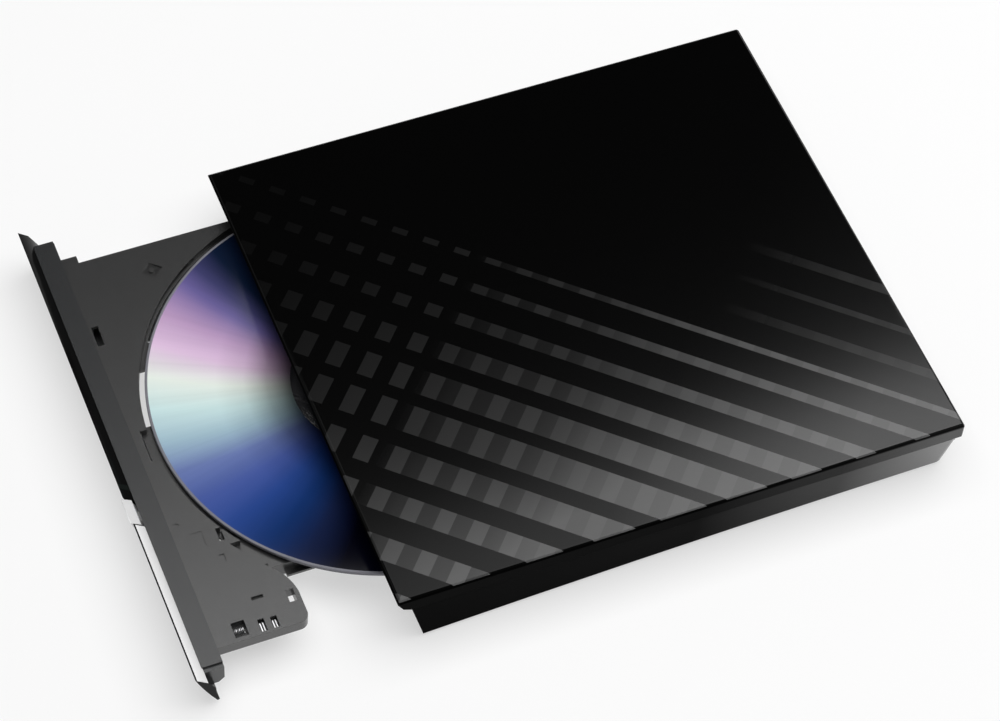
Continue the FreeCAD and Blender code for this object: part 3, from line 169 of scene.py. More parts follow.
def use_effect(made, tree, target="Normal", output="Normal", **numbers):
    """Adds the effect to a material, fed with Object coordinates, and links one output to the shader."""
    nodes = made.node_tree
    place = node(nodes, "ShaderNodeTexCoord")
    call = node(nodes, "ShaderNodeGroup", node_tree=tree, inputs={"Vector": place.outputs["Object"]})
    for key, number in numbers.items():
        call.inputs[key.replace("_", " ").capitalize()].default_value = number
    shader = nodes.nodes["Principled BSDF"]
    nodes.links.new(call.outputs[output], shader.inputs[target])
    return call, shader


band_turn = math.radians(42.5)
band_centre = Vector((0.0, 0.0265, 0.0))
band_reach = 0.12
broad_first = -0.0023
broad_step = 0.0099
broad_growth = 0.00022
cross_first = -0.0772
cross_step = 0.00875
cross_width = 0.0042
broad_widths = [0.0026, 0.0030, 0.0040, 0.0058, 0.0074, 0.0082, 0.0080, 0.0064]
faint_share = 0.25
pattern_low = 0.0196
lid_grey = 0.0012
highlight_gain = 7.0
brightest_highlight = 0.1
polish_roughness = 0.12


def along(metres):
    """Place on a ramp that spans the pattern from -band_reach to +band_reach."""
    return (metres + band_reach) / (2 * band_reach)


side_gloss, side_in, side_out = effect(
    "polished_side",
    [("Vector", "Vector", None), ("Wall", "Float", 0.062)],
    [("Gloss", "Float")],
)
side_parts = node(side_gloss, "ShaderNodeSeparateXYZ", inputs={"Vector": side_in.outputs["Vector"]})
side_place = math_node(side_gloss, "MULTIPLY_ADD", side_parts.outputs["Y"], 0.5 / band_reach, 0.5)
side_stops = [(along(0.030), 0.0), (along(0.070), 0.25), (along(0.100), 1.0)]
side_ramp = ramp_node(side_gloss, side_place, side_stops)
side_wall = math_node(side_gloss, "GREATER_THAN", side_parts.outputs["X"], side_in.outputs["Wall"])
side_gloss.links.new(math_node(side_gloss, "MULTIPLY", side_ramp, side_wall), side_out.inputs["Gloss"])

bands, bands_in, bands_out = effect(
    "crossing_bands",
    [("Vector", "Vector", None)],
    [("Color", "Color"), ("Gloss", "Float")],
)
band_map = node(bands, "ShaderNodeMapping", inputs={
    "Rotation": (0, 0, band_turn), "Location": -(Matrix.Rotation(band_turn, 3, "Z") @ band_centre),
    "Vector": bands_in.outputs["Vector"]})
band_parts = node(bands, "ShaderNodeSeparateXYZ", inputs={"Vector": band_map.outputs["Vector"]})
side_fac = math_node(bands, "MULTIPLY_ADD", band_parts.outputs["X"], 0.5 / band_reach, 0.5)
length_fac = math_node(bands, "MULTIPLY_ADD", band_parts.outputs["Y"], 0.5 / band_reach, 0.5)
stops = [(0.0, 0.0)]
for number in range(-3, 10):
    centre = broad_first + broad_step * number + broad_growth * number * abs(number)
    width = broad_widths[min(max(number, 0), len(broad_widths) - 1)]
    strength = 1.0 if number >= 0 else faint_share
    stops.append((along(centre - width / 2), strength))
    stops.append((along(centre + width / 2), 0.0))
broad = ramp_node(bands, side_fac, stops, "CONSTANT")
cross_offset = -cross_first / cross_step + cross_width / cross_step / 2 + 20
cross_count = math_node(bands, "MULTIPLY_ADD", band_parts.outputs["Y"], 1 / cross_step, cross_offset)
phase = math_node(bands, "FRACT", cross_count)
crossing = math_node(bands, "LESS_THAN", phase, cross_width / cross_step)
between_stops = [(along(-0.030), 0.0), (along(-0.020), 0.4), (along(0.004), 0.5), (along(0.016), 0.84)]
between = ramp_node(bands, length_fac, between_stops)
rest = math_node(bands, "MULTIPLY", math_node(bands, "SUBTRACT", 1.0, crossing), between)
share = math_node(bands, "ADD", crossing, rest)
# Painted highlight: the band brightness rises along the lid and towards the near corner, where the soft
# panel reflects.
print_and_highlight_level = ramp_node(bands, length_fac, [
    (along(-0.080), 0.0018), (along(-0.050), 0.0056), (along(-0.025), 0.0100), (along(-0.006), 0.0170),
    (along(0.010), 0.0240), (along(0.020), 0.0380), (along(0.030), 0.0560), (along(0.040), 0.0700),
    (along(0.060), 0.0950)])
corner_highlight = ramp_node(bands, side_fac, [(along(0.020), 0.143), (along(0.060), 0.29), (along(0.100), 0.8)])
corner_highlight_level = math_node(bands, "MULTIPLY", math_node(bands, "MULTIPLY", print_and_highlight_level, corner_highlight), highlight_gain)
capped_highlight_level = math_node(bands, "MINIMUM", corner_highlight_level, brightest_highlight)
far_side = ramp_node(bands, side_fac, [(0.0, 0.0), (along(-0.006), 1.0)], "CONSTANT")
far_end = ramp_node(bands, length_fac, [(along(0.035), 0.0), (along(0.070), 1.0)])
allowed = math_node(bands, "MAXIMUM", far_side, far_end)
crossed = math_node(bands, "MULTIPLY", broad, share)
lit = math_node(bands, "MULTIPLY", math_node(bands, "MULTIPLY", crossed, capped_highlight_level), allowed)
height_parts = node(bands, "ShaderNodeSeparateXYZ", inputs={"Vector": bands_in.outputs["Vector"]})
on_top = math_node(bands, "GREATER_THAN", height_parts.outputs["Z"], pattern_low)
shown = math_node(bands, "MULTIPLY", lit, on_top)
grey = math_node(bands, "ADD", shown, lid_grey)
bands.links.new(grey, bands_out.inputs["Color"])
gloss = ramp_node(bands, length_fac, [(along(-0.020), 0.2), (along(0.030), 0.34), (along(0.080), 0.95)])
top_gloss = math_node(bands, "MULTIPLY", on_top, gloss)
side_call = node(bands, "ShaderNodeGroup", node_tree=side_gloss, inputs={
    "Vector": bands_in.outputs["Vector"]})
below_top = math_node(bands, "SUBTRACT", 1.0, on_top)
edge_gloss = math_node(bands, "MULTIPLY", side_call.outputs["Gloss"], below_top)
bands.links.new(math_node(bands, "ADD", top_gloss, edge_gloss), bands_out.inputs["Gloss"])

lid_black = plain_material("lid_gloss_black", (0.003, 0.003, 0.003), 0.3, specular=0.008)
call, shader = use_effect(lid_black, bands, "Base Color", "Color")
shader.inputs["Coat Roughness"].default_value = polish_roughness
lid_black.node_tree.links.new(call.outputs["Gloss"], shader.inputs["Coat Weight"])

weld = 1e-6
flat_angle = math.radians(0.6)


def clean_copy(cad, name, edge, segments=2, fold=35.0):
    """A plain mesh made from a CAD piece, its flat faces joined and its sharp edges slightly rounded."""
    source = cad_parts[cad].data
    mesh = bpy.data.meshes.new(name)
    mesh.from_pydata([v.co.copy() for v in source.vertices], [], [list(p.vertices) for p in source.polygons])
    shape = bmesh.new()
    shape.from_mesh(mesh)
    bmesh.ops.remove_doubles(shape, verts=shape.verts, dist=weld)
    bmesh.ops.dissolve_limit(shape, angle_limit=flat_angle, verts=shape.verts, edges=shape.edges)
    bmesh.ops.recalc_face_normals(shape, faces=shape.faces)
    shape.to_mesh(mesh)
    shape.free()
    mesh.polygons.foreach_set("use_smooth", [True] * len(mesh.polygons))
    mesh.set_sharp_from_angle(angle=math.radians(fold))
    made = bpy.data.objects.new(name, mesh)
    bpy.context.scene.collection.objects.link(made)
    if edge:
        rounding = made.modifiers.new("edges", "BEVEL")
        rounding.width = edge
        rounding.segments = segments
        rounding.limit_method = "ANGLE"
        rounding.angle_limit = math.radians(fold)
        rounding.use_clamp_overlap = True
        made.modifiers.new("facing", "WEIGHTED_NORMAL").keep_sharp = True
    return settle(made)


def settle(made):
    """Turns a piece with live modifiers into a plain mesh."""
    bpy.context.view_layer.update()
    flat = bpy.data.meshes.new_from_object(made.evaluated_get(bpy.context.evaluated_depsgraph_get()))
    made.modifiers.clear()
    made.data = flat
    return made


def dress(piece, made):
    """Gives the whole piece one material."""
    piece.data.materials.clear()
    piece.data.materials.append(made)


def finish_piece(piece, made, body, slot, *stands_for):
    """Gives the piece its material and its body, and lets it stand for the named CAD pieces. The slot is not
    used.
    """
    dress(piece, made)
    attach(piece, body)
    if stands_for:
        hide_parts(*stands_for)


lid = clean_copy("top_cover", "lid", 0.00025)
finish_piece(lid, lid_black, "housing", "lid_gloss_black", "top_cover")

# Bottom shell.
# A second moulding in plain black with a fine spark-eroded grain; its walls lean inwards under the cover.
grain, grain_in, grain_out = effect(
    "mould_grain",
    [("Vector", "Vector", None), ("Scale", "Float", 2500.0), ("Depth", "Float", 0.3)],
    [("Normal", "Vector")],
)
grain_noise = node(grain, "ShaderNodeTexNoise", inputs={
    "Detail": 2.0, "Roughness": 0.5, "Vector": grain_in.outputs["Vector"],
    "Scale": grain_in.outputs["Scale"]})
grain_bump = node(grain, "ShaderNodeBump", inputs={
    "Distance": 0.00005, "Strength": grain_in.outputs["Depth"], "Height": grain_noise.outputs["Fac"]})
grain.links.new(grain_bump.outputs["Normal"], grain_out.inputs["Normal"])

shell_black = plain_material("shell_black", (0.002, 0.002, 0.002), 0.45, specular=0.006)
use_effect(shell_black, grain, depth=0.2)
call, shader = use_effect(shell_black, side_gloss, "Coat Weight", "Gloss")
shader.inputs["Coat Roughness"].default_value = polish_roughness
shader.inputs["Coat IOR"].default_value = 2.0
shell = clean_copy("bottom_shell", "shell", 0.00015)
finish_piece(shell, shell_black, "housing", "shell_black", "bottom_shell")

# Rubber feet.
# Four round pads of soft black rubber, pressed into shallow seats under the shell.
rubber = plain_material("rubber_black", (0.012, 0.012, 0.012), 0.85, specular=0.2)
use_effect(rubber, grain, scale=1400.0, depth=0.6)


def islands(cad):
    """Lowest and highest corner of each loose part of a CAD piece."""
    shape = bmesh.new()
    shape.from_mesh(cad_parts[cad].data)
    bmesh.ops.remove_doubles(shape, verts=shape.verts, dist=weld)
    left, boxes = set(shape.verts), []
    while left:
        reached = [left.pop()]
        part = list(reached)
        while reached:
            for edge in reached.pop().link_edges:
                for corner in edge.verts:
                    if corner in left:
                        left.discard(corner)
                        reached.append(corner)
                        part.append(corner)
        low = Vector([min(v.co[k] for v in part) for k in range(3)])
        high = Vector([max(v.co[k] for v in part) for k in range(3)])
        boxes.append((low, high))
    shape.free()
    return sorted(boxes, key=lambda pair: tuple(pair[0]))


def geo_tree(name, inputs):
    """An empty Geometry Nodes tree with named inputs and one geometry output."""
    shape = ("Geometry", "Geometry")
    return effect(name, [(*shape, None)] + inputs, [shape], "GeometryNodeTree")


def lifted(tree, shape, height):
    """The shape moved up by the height socket."""
    offset = node(tree, "ShaderNodeCombineXYZ", inputs={"Z": height})
    move = node(tree, "GeometryNodeTransform", inputs={"Geometry": shape, "Translation": offset.outputs[0]})
    return move.outputs["Geometry"]


def swept(tree, path, bead, capped=True):
    """The bead's outline carried along the path."""
    solid = node(tree, "GeometryNodeCurveToMesh", inputs={
        "Fill Caps": capped, "Curve": path, "Profile Curve": bead.outputs["Curve"]})
    return solid.outputs["Mesh"]


def joined(tree, *shapes):
    """The shapes as one geometry."""
    made = node(tree, "GeometryNodeJoinGeometry")
    for shape in shapes:
        tree.links.new(shape, made.inputs["Geometry"])
    return made.outputs["Geometry"]


def close_tree(tree, source, into, shape, turn=(0, 0, 0)):
    """Sets the shape on each given point, then ends the tree in Realize Instances and Set Material."""
    placed = node(tree, "GeometryNodeInstanceOnPoints", inputs={
        "Points": source.outputs["Geometry"], "Instance": shape, "Rotation": turn})
    real = node(tree, "GeometryNodeRealizeInstances", inputs={"Geometry": placed.outputs["Instances"]})
    coat = node(tree, "GeometryNodeSetMaterial", inputs={
        "Geometry": real.outputs["Geometry"], "Material": source.outputs["Material"]})
    tree.links.new(coat.outputs["Geometry"], into.inputs["Geometry"])


fine_weld = 1e-7


def grown(name, tree, points, **values):
    """A plain mesh that the tree grows on the given points, with its named inputs set."""
    mesh = bpy.data.meshes.new(name)
    mesh.from_pydata([tuple(point) for point in points], [], [])
    made = bpy.data.objects.new(name, mesh)
    bpy.context.scene.collection.objects.link(made)
    live = made.modifiers.new("grow", "NODES")
    live.node_group = tree
    for item in tree.interface.items_tree:
        key = item.name.lower().replace(" ", "_")
        if item.in_out == "INPUT" and key in values:
            live[item.identifier] = values[key]
    settle(made)
    facing = bmesh.new()
    facing.from_mesh(made.data)
    bmesh.ops.remove_doubles(facing, verts=facing.verts, dist=fine_weld)
    bmesh.ops.recalc_face_normals(facing, faces=facing.faces)
    facing.to_mesh(made.data)
    facing.free()
    made.data.polygons.foreach_set("use_smooth", [True] * len(made.data.polygons))
    made.data.set_sharp_from_angle(angle=math.radians(32))
    return made


pads, pads_in, pads_out = geo_tree("ringed_pad", [
    ("Radius", "Float", 0.0044), ("Height", "Float", 0.0018), ("Rings", "Int", 3),
    ("Step", "Float", 0.0011), ("Ridge", "Float", 0.00016), ("Material", "Material", None)])
pad_radius, ridge = pads_in.outputs["Radius"], pads_in.outputs["Ridge"]
pad_height = math_node(pads, "SUBTRACT", pads_in.outputs["Height"], ridge)
pad_disc = node(pads, "GeometryNodeMeshCylinder", fill_type="NGON", inputs={
    "Vertices": 48, "Radius": pad_radius, "Depth": pad_height})
ring_line = node(pads, "GeometryNodeMeshLine", inputs={
    "Start Location": (0, 0, 0), "Offset": (0, 0, 0), "Count": pads_in.outputs["Rings"]})
ring_path = node(pads, "GeometryNodeCurvePrimitiveCircle", inputs={"Resolution": 40, "Radius": 1.0})
ring_count = math_node(pads, "ADD", node(pads, "GeometryNodeInputIndex").outputs[0], 1.0)
ring_set = node(pads, "GeometryNodeInstanceOnPoints", inputs={
    "Points": ring_line.outputs["Mesh"], "Instance": ring_path.outputs["Curve"],
    "Scale": math_node(pads, "MULTIPLY", ring_count, pads_in.outputs["Step"])})
ring_real = node(pads, "GeometryNodeRealizeInstances", inputs={"Geometry": ring_set.outputs["Instances"]})
ring_bead = node(pads, "GeometryNodeCurvePrimitiveCircle", inputs={"Resolution": 8, "Radius": ridge})
pad_middle = math_node(pads, "MULTIPLY_ADD", pad_height, 0.5, ridge)
rings = swept(pads, ring_real.outputs["Geometry"], ring_bead, False)
foot_pad = joined(pads, lifted(pads, pad_disc.outputs["Mesh"], pad_middle), lifted(pads, rings, ridge))
close_tree(pads, pads_in, pads_out, foot_pad)

foot_boxes = islands("rubber_feet")
feet = grown("feet", pads, [((low + high) / 2).to_2d().to_3d() for low, high in foot_boxes], material=rubber)
finish_piece(feet, rubber, "housing", "rubber_black", "rubber_feet")

# Screws.
# Small zinc-plated machine screws with cross recesses hold the case, the mechanism, the bridge board,
# the base plate and the traverse. Their threads are rolled.
brushed, brushed_in, brushed_out = effect(
    "drawn_metal",
    [("Vector", "Vector", None), ("Stretch", "Vector", (200.0, 6000.0, 6000.0)),
     ("Depth", "Float", 0.2)],
    [("Normal", "Vector"), ("Roughness", "Float")],
)
brushed_map = node(brushed, "ShaderNodeVectorMath", operation="MULTIPLY", inputs={
    0: brushed_in.outputs["Vector"], 1: brushed_in.outputs["Stretch"]})
brushed_noise = node(brushed, "ShaderNodeTexNoise", inputs={
    "Scale": 1.0, "Detail": 3.0, "Vector": brushed_map.outputs[0]})
brushed_bump = node(brushed, "ShaderNodeBump", inputs={
    "Distance": 0.00003, "Strength": brushed_in.outputs["Depth"], "Height": brushed_noise.outputs["Fac"]})
brushed.links.new(brushed_bump.outputs["Normal"], brushed_out.inputs["Normal"])
brushed_gloss = math_node(brushed, "MULTIPLY_ADD", brushed_noise.outputs["Fac"], 0.3, 0.2)
brushed.links.new(brushed_gloss, brushed_out.inputs["Roughness"])


def metal(name, colour, stretch=(200.0, 6000.0, 6000.0), depth=0.2):
    """A drawn or stamped metal; its roughness and its fine lines come from the drawn_metal effect."""
    made = plain_material(name, colour, 0.35, metallic=1.0)
    call, shader = use_effect(made, brushed, depth=depth)
    call.inputs["Stretch"].default_value = stretch
    made.node_tree.links.new(call.outputs["Roughness"], shader.inputs["Roughness"])
    return made


screw_steel = metal("screw_steel", (0.45, 0.45, 0.46), (3000.0, 3000.0, 3000.0))


def coiled(tree, fineness, turns, radius, height, sides, wire):
    """A wire of that many sides wound round the upright axis."""
    path = node(tree, "GeometryNodeCurveSpiral", inputs={
        "Resolution": fineness, "Rotations": turns, "Start Radius": radius, "End Radius": radius,
        "Height": height})
    bead = node(tree, "GeometryNodeCurvePrimitiveCircle", inputs={"Resolution": sides, "Radius": wire})
    return swept(tree, path.outputs["Curve"], bead)


screw, screw_in, screw_out = geo_tree("machine_screw", [
    ("Head Radius", "Float", 0.0016), ("Head Height", "Float", 0.0009),
    ("Shank Radius", "Float", 0.0008), ("Shank Length", "Float", 0.0065),
    ("Pitch", "Float", 0.0004), ("Turn Over", "Float", 0.0), ("Material", "Material", None)])
head_radius = screw_in.outputs["Head Radius"]
head_height = screw_in.outputs["Head Height"]
shank_radius = screw_in.outputs["Shank Radius"]
shank_length = screw_in.outputs["Shank Length"]
pitch = screw_in.outputs["Pitch"]
blank = node(screw, "GeometryNodeMeshCone", fill_type="NGON", inputs={
    "Vertices": 32, "Side Segments": 3, "Radius Bottom": 0.86, "Radius Top": 1.0, "Depth": 1.0})
recessed = blank.outputs["Mesh"]
for slot_size in ((1.3, 0.28, 1.1), (0.28, 1.3, 1.1)):
    slot_cut = node(screw, "GeometryNodeMeshCube", inputs={"Size": slot_size})
    cross = node(screw, "GeometryNodeMeshBoolean", operation="DIFFERENCE", solver="EXACT", inputs={
        "Mesh 1": recessed, "Mesh 2": slot_cut.outputs["Mesh"]})
    recessed = cross.outputs["Mesh"]
head_size = node(screw, "ShaderNodeCombineXYZ", inputs={
    "X": head_radius, "Y": head_radius, "Z": head_height})
head = node(screw, "GeometryNodeTransform", inputs={"Geometry": recessed, "Scale": head_size.outputs[0]})
core_share = 0.82
core = node(screw, "GeometryNodeMeshCylinder", fill_type="NGON", inputs={
    "Vertices": 20, "Radius": math_node(screw, "MULTIPLY", shank_radius, core_share), "Depth": shank_length})
core_middle = math_node(screw, "ADD", head_height, math_node(screw, "MULTIPLY", shank_length, 0.5))
thread_length = math_node(screw, "SUBTRACT", shank_length, pitch)
tooth_radius = math_node(screw, "MULTIPLY", pitch, 0.4)
thread_start = math_node(screw, "ADD", head_height, math_node(screw, "MULTIPLY", pitch, 0.45))
thread = coiled(screw, 14, math_node(screw, "DIVIDE", thread_length, pitch),
                math_node(screw, "SUBTRACT", shank_radius, tooth_radius), thread_length, 3, tooth_radius)
whole = joined(screw, head.outputs["Geometry"], lifted(screw, core.outputs["Mesh"], core_middle),
               lifted(screw, thread, thread_start))
over = node(screw, "ShaderNodeCombineXYZ", inputs={"X": screw_in.outputs["Turn Over"]})
close_tree(screw, screw_in, screw_out, whole, over.outputs[0])

# name of the CAD piece, body, head radius, head height, shank radius, thread pitch, head upwards
screw_runs = [
    ("case_screws", "housing", 0.0015, 0.0009, 0.0007, 0.0005, False),
    ("chassis_screws", "housing", 0.0015, 0.0009, 0.0007, 0.0005, False),
    ("bridge_screws", "housing", 0.0015, 0.0008, 0.0007, 0.0005, True),
    ("base_screws", "tray", 0.0015, 0.0004, 0.0007, 0.0005, False),
    ("traverse_screws", "tray", 0.00115, 0.0005, 0.00042, 0.0003, False),
]
for cad, body, head_r, head_h, shank_r, step, upwards in screw_runs:
    boxes = islands(cad)
    places = [Vector(((low.x + high.x) / 2, (low.y + high.y) / 2, high.z if upwards else low.z))
              for low, high in boxes]
    length = boxes[0][1].z - boxes[0][0].z - head_h
    run = grown(cad + "_cut", screw, places, head_radius=head_r, head_height=head_h, shank_radius=shank_r,
                shank_length=length, pitch=step, turn_over=math.pi if upwards else 0.0, material=screw_steel)
    finish_piece(run, screw_steel, body, "screw_steel", cad)

# Sheet-metal chassis.
# A pan and a lid of bright stamped steel box the mechanism in. The rail guides and the catch post
# are fixed to the pan, and the rails and rods are ground steel.
stamped_steel = metal("stamped_steel", (0.55, 0.56, 0.57), (150.0, 4000.0, 4000.0), 0.05)


def keep_cad(made, slot, *names):
    """CAD pieces that stay as they are get a material. The slot is not used."""
    for name in names:
        dress(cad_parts[name], made)


keep_cad(stamped_steel, "stamped_steel", "chassis_pan", "chassis_lid", "tray_base_plate", "traverse_plate",
         "screw_bracket")
bright_steel = metal("bright_steel", (0.7, 0.7, 0.71), (6000.0, 6000.0, 200.0), 0.1)
lead_radius = 0.00075
tip_length = 0.0008
plain_ends = 0.002
worm, worm_in, worm_out = geo_tree("lead_thread", [
    ("Radius", "Float", lead_radius), ("Length", "Float", 0.0794), ("Lead", "Float", 0.003),
    ("Material", "Material", None)])
worm_core = node(worm, "GeometryNodeMeshCylinder", fill_type="NGON", inputs={
    "Vertices": 24, "Radius": math_node(worm, "MULTIPLY", worm_in.outputs["Radius"], core_share),
    "Depth": worm_in.outputs["Length"]})
worm_tip = node(worm, "GeometryNodeMeshCylinder", fill_type="NGON", inputs={
    "Vertices": 24, "Radius": worm_in.outputs["Radius"], "Depth": tip_length})
worm_middle = math_node(worm, "MULTIPLY", worm_in.outputs["Length"], 0.5)
tip_middle = math_node(worm, "SUBTRACT", worm_in.outputs["Length"], tip_length / 2)
worm_run = math_node(worm, "SUBTRACT", worm_in.outputs["Length"], plain_ends)
worm_thread = coiled(worm, 28, math_node(worm, "DIVIDE", worm_run, worm_in.outputs["Lead"]),
                     math_node(worm, "MULTIPLY", worm_in.outputs["Radius"], 0.8), worm_run,
                     6, math_node(worm, "MULTIPLY", worm_in.outputs["Radius"], 0.2))
worm_whole = joined(worm, lifted(worm, worm_core.outputs["Mesh"], worm_middle), worm_thread,
                    lifted(worm, worm_tip.outputs["Mesh"], tip_middle))
worm_turn = node(worm, "GeometryNodeTransform", inputs={
    "Rotation": (0, math.pi / 2, math.radians(225)), "Geometry": worm_whole})
close_tree(worm, worm_in, worm_out, worm_turn.outputs["Geometry"])
worm_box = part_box("lead_screw")
diagonal = math.sqrt(0.5) * lead_radius
worm_height = (worm_box[0][2] + worm_box[1][2]) / 2
worm_start = Vector((worm_box[1][0] - diagonal, worm_box[1][1] - diagonal, worm_height))
worm_length = (worm_box[1][0] - worm_box[0][0] - 2 * diagonal) * math.sqrt(2)
lead = grown("lead_screw_thread", worm, [worm_start], length=worm_length, material=bright_steel)
finish_piece(lead, bright_steel, "lead_screw", "bright_steel", "lead_screw")
keep_cad(bright_steel, "bright_steel", "guide_rods", "catch_post", "usb_shell", "rail_left", "rail_right",
         "rail_guide_left", "rail_guide_right", "latch_pin")

# Circuit boards.
# Green glass-epoxy boards with etched tracks under the lacquer; packages and sockets are soldered on.
tracks, tracks_in, tracks_out = effect(
    "board_tracks",
    [("Vector", "Vector", None), ("Scale", "Float", 400.0)],
    [("Color", "Color")],
)
track_lines = node(tracks, "ShaderNodeTexBrick", offset=0.37, squash=1.6, squash_frequency=3, inputs={
    "Color1": (0.008, 0.075, 0.026, 1), "Color2": (0.009, 0.085, 0.03, 1), "Mortar": (0.02, 0.16, 0.06, 1),
    "Mortar Size": 0.05, "Brick Width": 5.0, "Row Height": 0.28, "Vector": tracks_in.outputs["Vector"],
    "Scale": tracks_in.outputs["Scale"]})
plane_noise = node(tracks, "ShaderNodeTexNoise", inputs={
    "Scale": 90.0, "Detail": 0.0, "Vector": tracks_in.outputs["Vector"]})
ground_plane = math_node(tracks, "GREATER_THAN", plane_noise.outputs["Fac"], 0.52)
plane_green = (0.009, 0.09, 0.032, 1)
plane_mix = node(tracks, "ShaderNodeMix", data_type="RGBA", inputs={
    "Factor": ground_plane, "A": track_lines.outputs["Color"], "B": plane_green})
via_cells = node(tracks, "ShaderNodeTexVoronoi", inputs={
    "Scale": 500.0, "Randomness": 0.7, "Vector": tracks_in.outputs["Vector"]})
via = math_node(tracks, "LESS_THAN", via_cells.outputs["Distance"], 0.17)
via_tin = (0.35, 0.33, 0.28, 1)
via_mix = node(tracks, "ShaderNodeMix", data_type="RGBA", inputs={
    "Factor": via, "A": plane_mix.outputs["Result"], "B": via_tin})
tracks.links.new(via_mix.outputs["Result"], tracks_out.inputs["Color"])
board_green = plain_material("board_green", (0.01, 0.1, 0.04), 0.35)
use_effect(board_green, tracks, "Base Color", "Color")
keep_cad(board_green, "board_green", "main_board", "bridge_board", "tray_board")
chip_black = plain_material("chip_black", (0.018, 0.018, 0.02), 0.5)
use_effect(chip_black, grain, scale=6000.0, depth=0.5)
keep_cad(chip_black, "chip_black", "main_board_parts", "bridge_parts", "tray_board_parts")
insulator = plain_material("insulator", (0.5, 0.48, 0.42), 0.6)
use_effect(insulator, grain, scale=1500.0, depth=0.3)
keep_cad(insulator, "insulator", "board_pads")
connector_black = plain_material("connector_black", (0.015, 0.015, 0.015), 0.4)
use_effect(connector_black, grain, scale=3500.0, depth=0.3)
keep_cad(connector_black, "connector_black", "drive_plug", "drive_socket", "usb_tongue", "eject_switch",
         "switch_plunger", "rod_clamps", "lens_holder")

# Tray.
# One moulding in matt dark grey: disc recess, side wing and front wall; fine eroded grain all over.
tray_grey = plain_material("tray_grey", (0.022, 0.023, 0.023), 0.25, specular=0.9)
use_effect(tray_grey, grain, scale=6000.0, depth=0.3)
mark, mark_in, mark_out = effect(
    "moulded_mark",
    [("Vector", "Vector", None), ("Place", "Vector", (-0.0509, -0.0736, 0.0)),
     ("Size", "Float", 0.0029), ("Tone", "Float", 0.023), ("Dark tone", "Float", 0.008)],
    [("Color", "Color")],
)
mark_offset = node(mark, "ShaderNodeVectorMath", operation="SUBTRACT", inputs={
    0: mark_in.outputs["Vector"], 1: mark_in.outputs["Place"]})
mark_parts = node(mark, "ShaderNodeSeparateXYZ", inputs={"Vector": mark_offset.outputs[0]})
mark_across = math_node(mark, "ABSOLUTE", mark_parts.outputs["X"])
mark_along = math_node(mark, "ABSOLUTE", mark_parts.outputs["Y"])
mark_span = math_node(mark, "ADD", mark_across, mark_along)
mark_reach = math_node(mark, "DIVIDE", mark_span, mark_in.outputs["Size"])
mark_outer = math_node(mark, "LESS_THAN", mark_reach, 1.0)
mark_inner = math_node(mark, "GREATER_THAN", mark_reach, 0.3)
mark_mask = math_node(mark, "MULTIPLY", mark_outer, mark_inner)
mark_drop = math_node(mark, "SUBTRACT", mark_in.outputs["Tone"], mark_in.outputs["Dark tone"])
mark_shade = math_node(mark, "MULTIPLY", mark_mask, mark_drop)
mark_tone = math_node(mark, "SUBTRACT", mark_in.outputs["Tone"], mark_shade)
mark.links.new(mark_tone, mark_out.inputs["Color"])
use_effect(tray_grey, mark, "Base Color", "Color")
tray = clean_copy("tray", "tray_moulding", 0.00015)
finish_piece(tray, tray_grey, "tray", "tray_grey", "tray")

coil, coil_in, coil_out = geo_tree("coil_spring", [
    ("Radius", "Float", 0.0008), ("Wire", "Float", 0.00012), ("Length", "Float", 0.0026),
    ("Turns", "Float", 6.0), ("Material", "Material", None)])
coil_wire = coiled(coil, 20, coil_in.outputs["Turns"], coil_in.outputs["Radius"], coil_in.outputs["Length"],
                   6, coil_in.outputs["Wire"])
coil_turn = node(coil, "GeometryNodeTransform", inputs={
    "Rotation": (-math.pi / 2, 0, 0), "Geometry": coil_wire})
close_tree(coil, coil_in, coil_out, coil_turn.outputs["Geometry"])
spring_places = [(0.0602, -0.0895, 0.0114)]
springs = grown("wing_springs", coil, spring_places, material=bright_steel)
finish_piece(springs, bright_steel, "tray", "bright_steel")

blades, blades_in, blades_out = geo_tree("contact_blades", [
    ("Blade", "Vector", (0.0026, 0.0003, 0.0012)), ("Count", "Int", 2),
    ("Step", "Float", 0.0007), ("Material", "Material", None)])
blade_shape = node(blades, "GeometryNodeMeshCube", inputs={"Size": blades_in.outputs["Blade"]})
blade_step = node(blades, "ShaderNodeCombineXYZ", inputs={"Y": blades_in.outputs["Step"]})
blade_line = node(blades, "GeometryNodeMeshLine", inputs={
    "Count": blades_in.outputs["Count"], "Offset": blade_step.outputs[0]})
blade_row = node(blades, "GeometryNodeInstanceOnPoints", inputs={
    "Points": blade_line.outputs["Mesh"], "Instance": blade_shape.outputs["Mesh"]})
close_tree(blades, blades_in, blades_out, blade_row.outputs["Instances"])
contact_places = [(0.0613, -0.0828, 0.011), (0.0615, -0.0796, 0.011)]
contacts = grown("wing_contacts", blades, contact_places, material=bright_steel)
finish_piece(contacts, bright_steel, "tray", "bright_steel")

# Bezel and front panel.
# The matt bezel clips to the tray. The leaning gloss panel covers it, with a bright white strip along the
# right half of its top edge that is a painted reflection of the soft panel, a silvered push button and a
# small light pipe.
bezel_grey = plain_material("bezel_grey", (0.02, 0.021, 0.022), 0.25, specular=0.7)
use_effect(bezel_grey, grain, scale=6000.0, depth=0.3)
bezel = clean_copy("bezel", "bezel_moulding", 0.0002)
finish_piece(bezel, bezel_grey, "tray", "bezel_grey", "bezel")

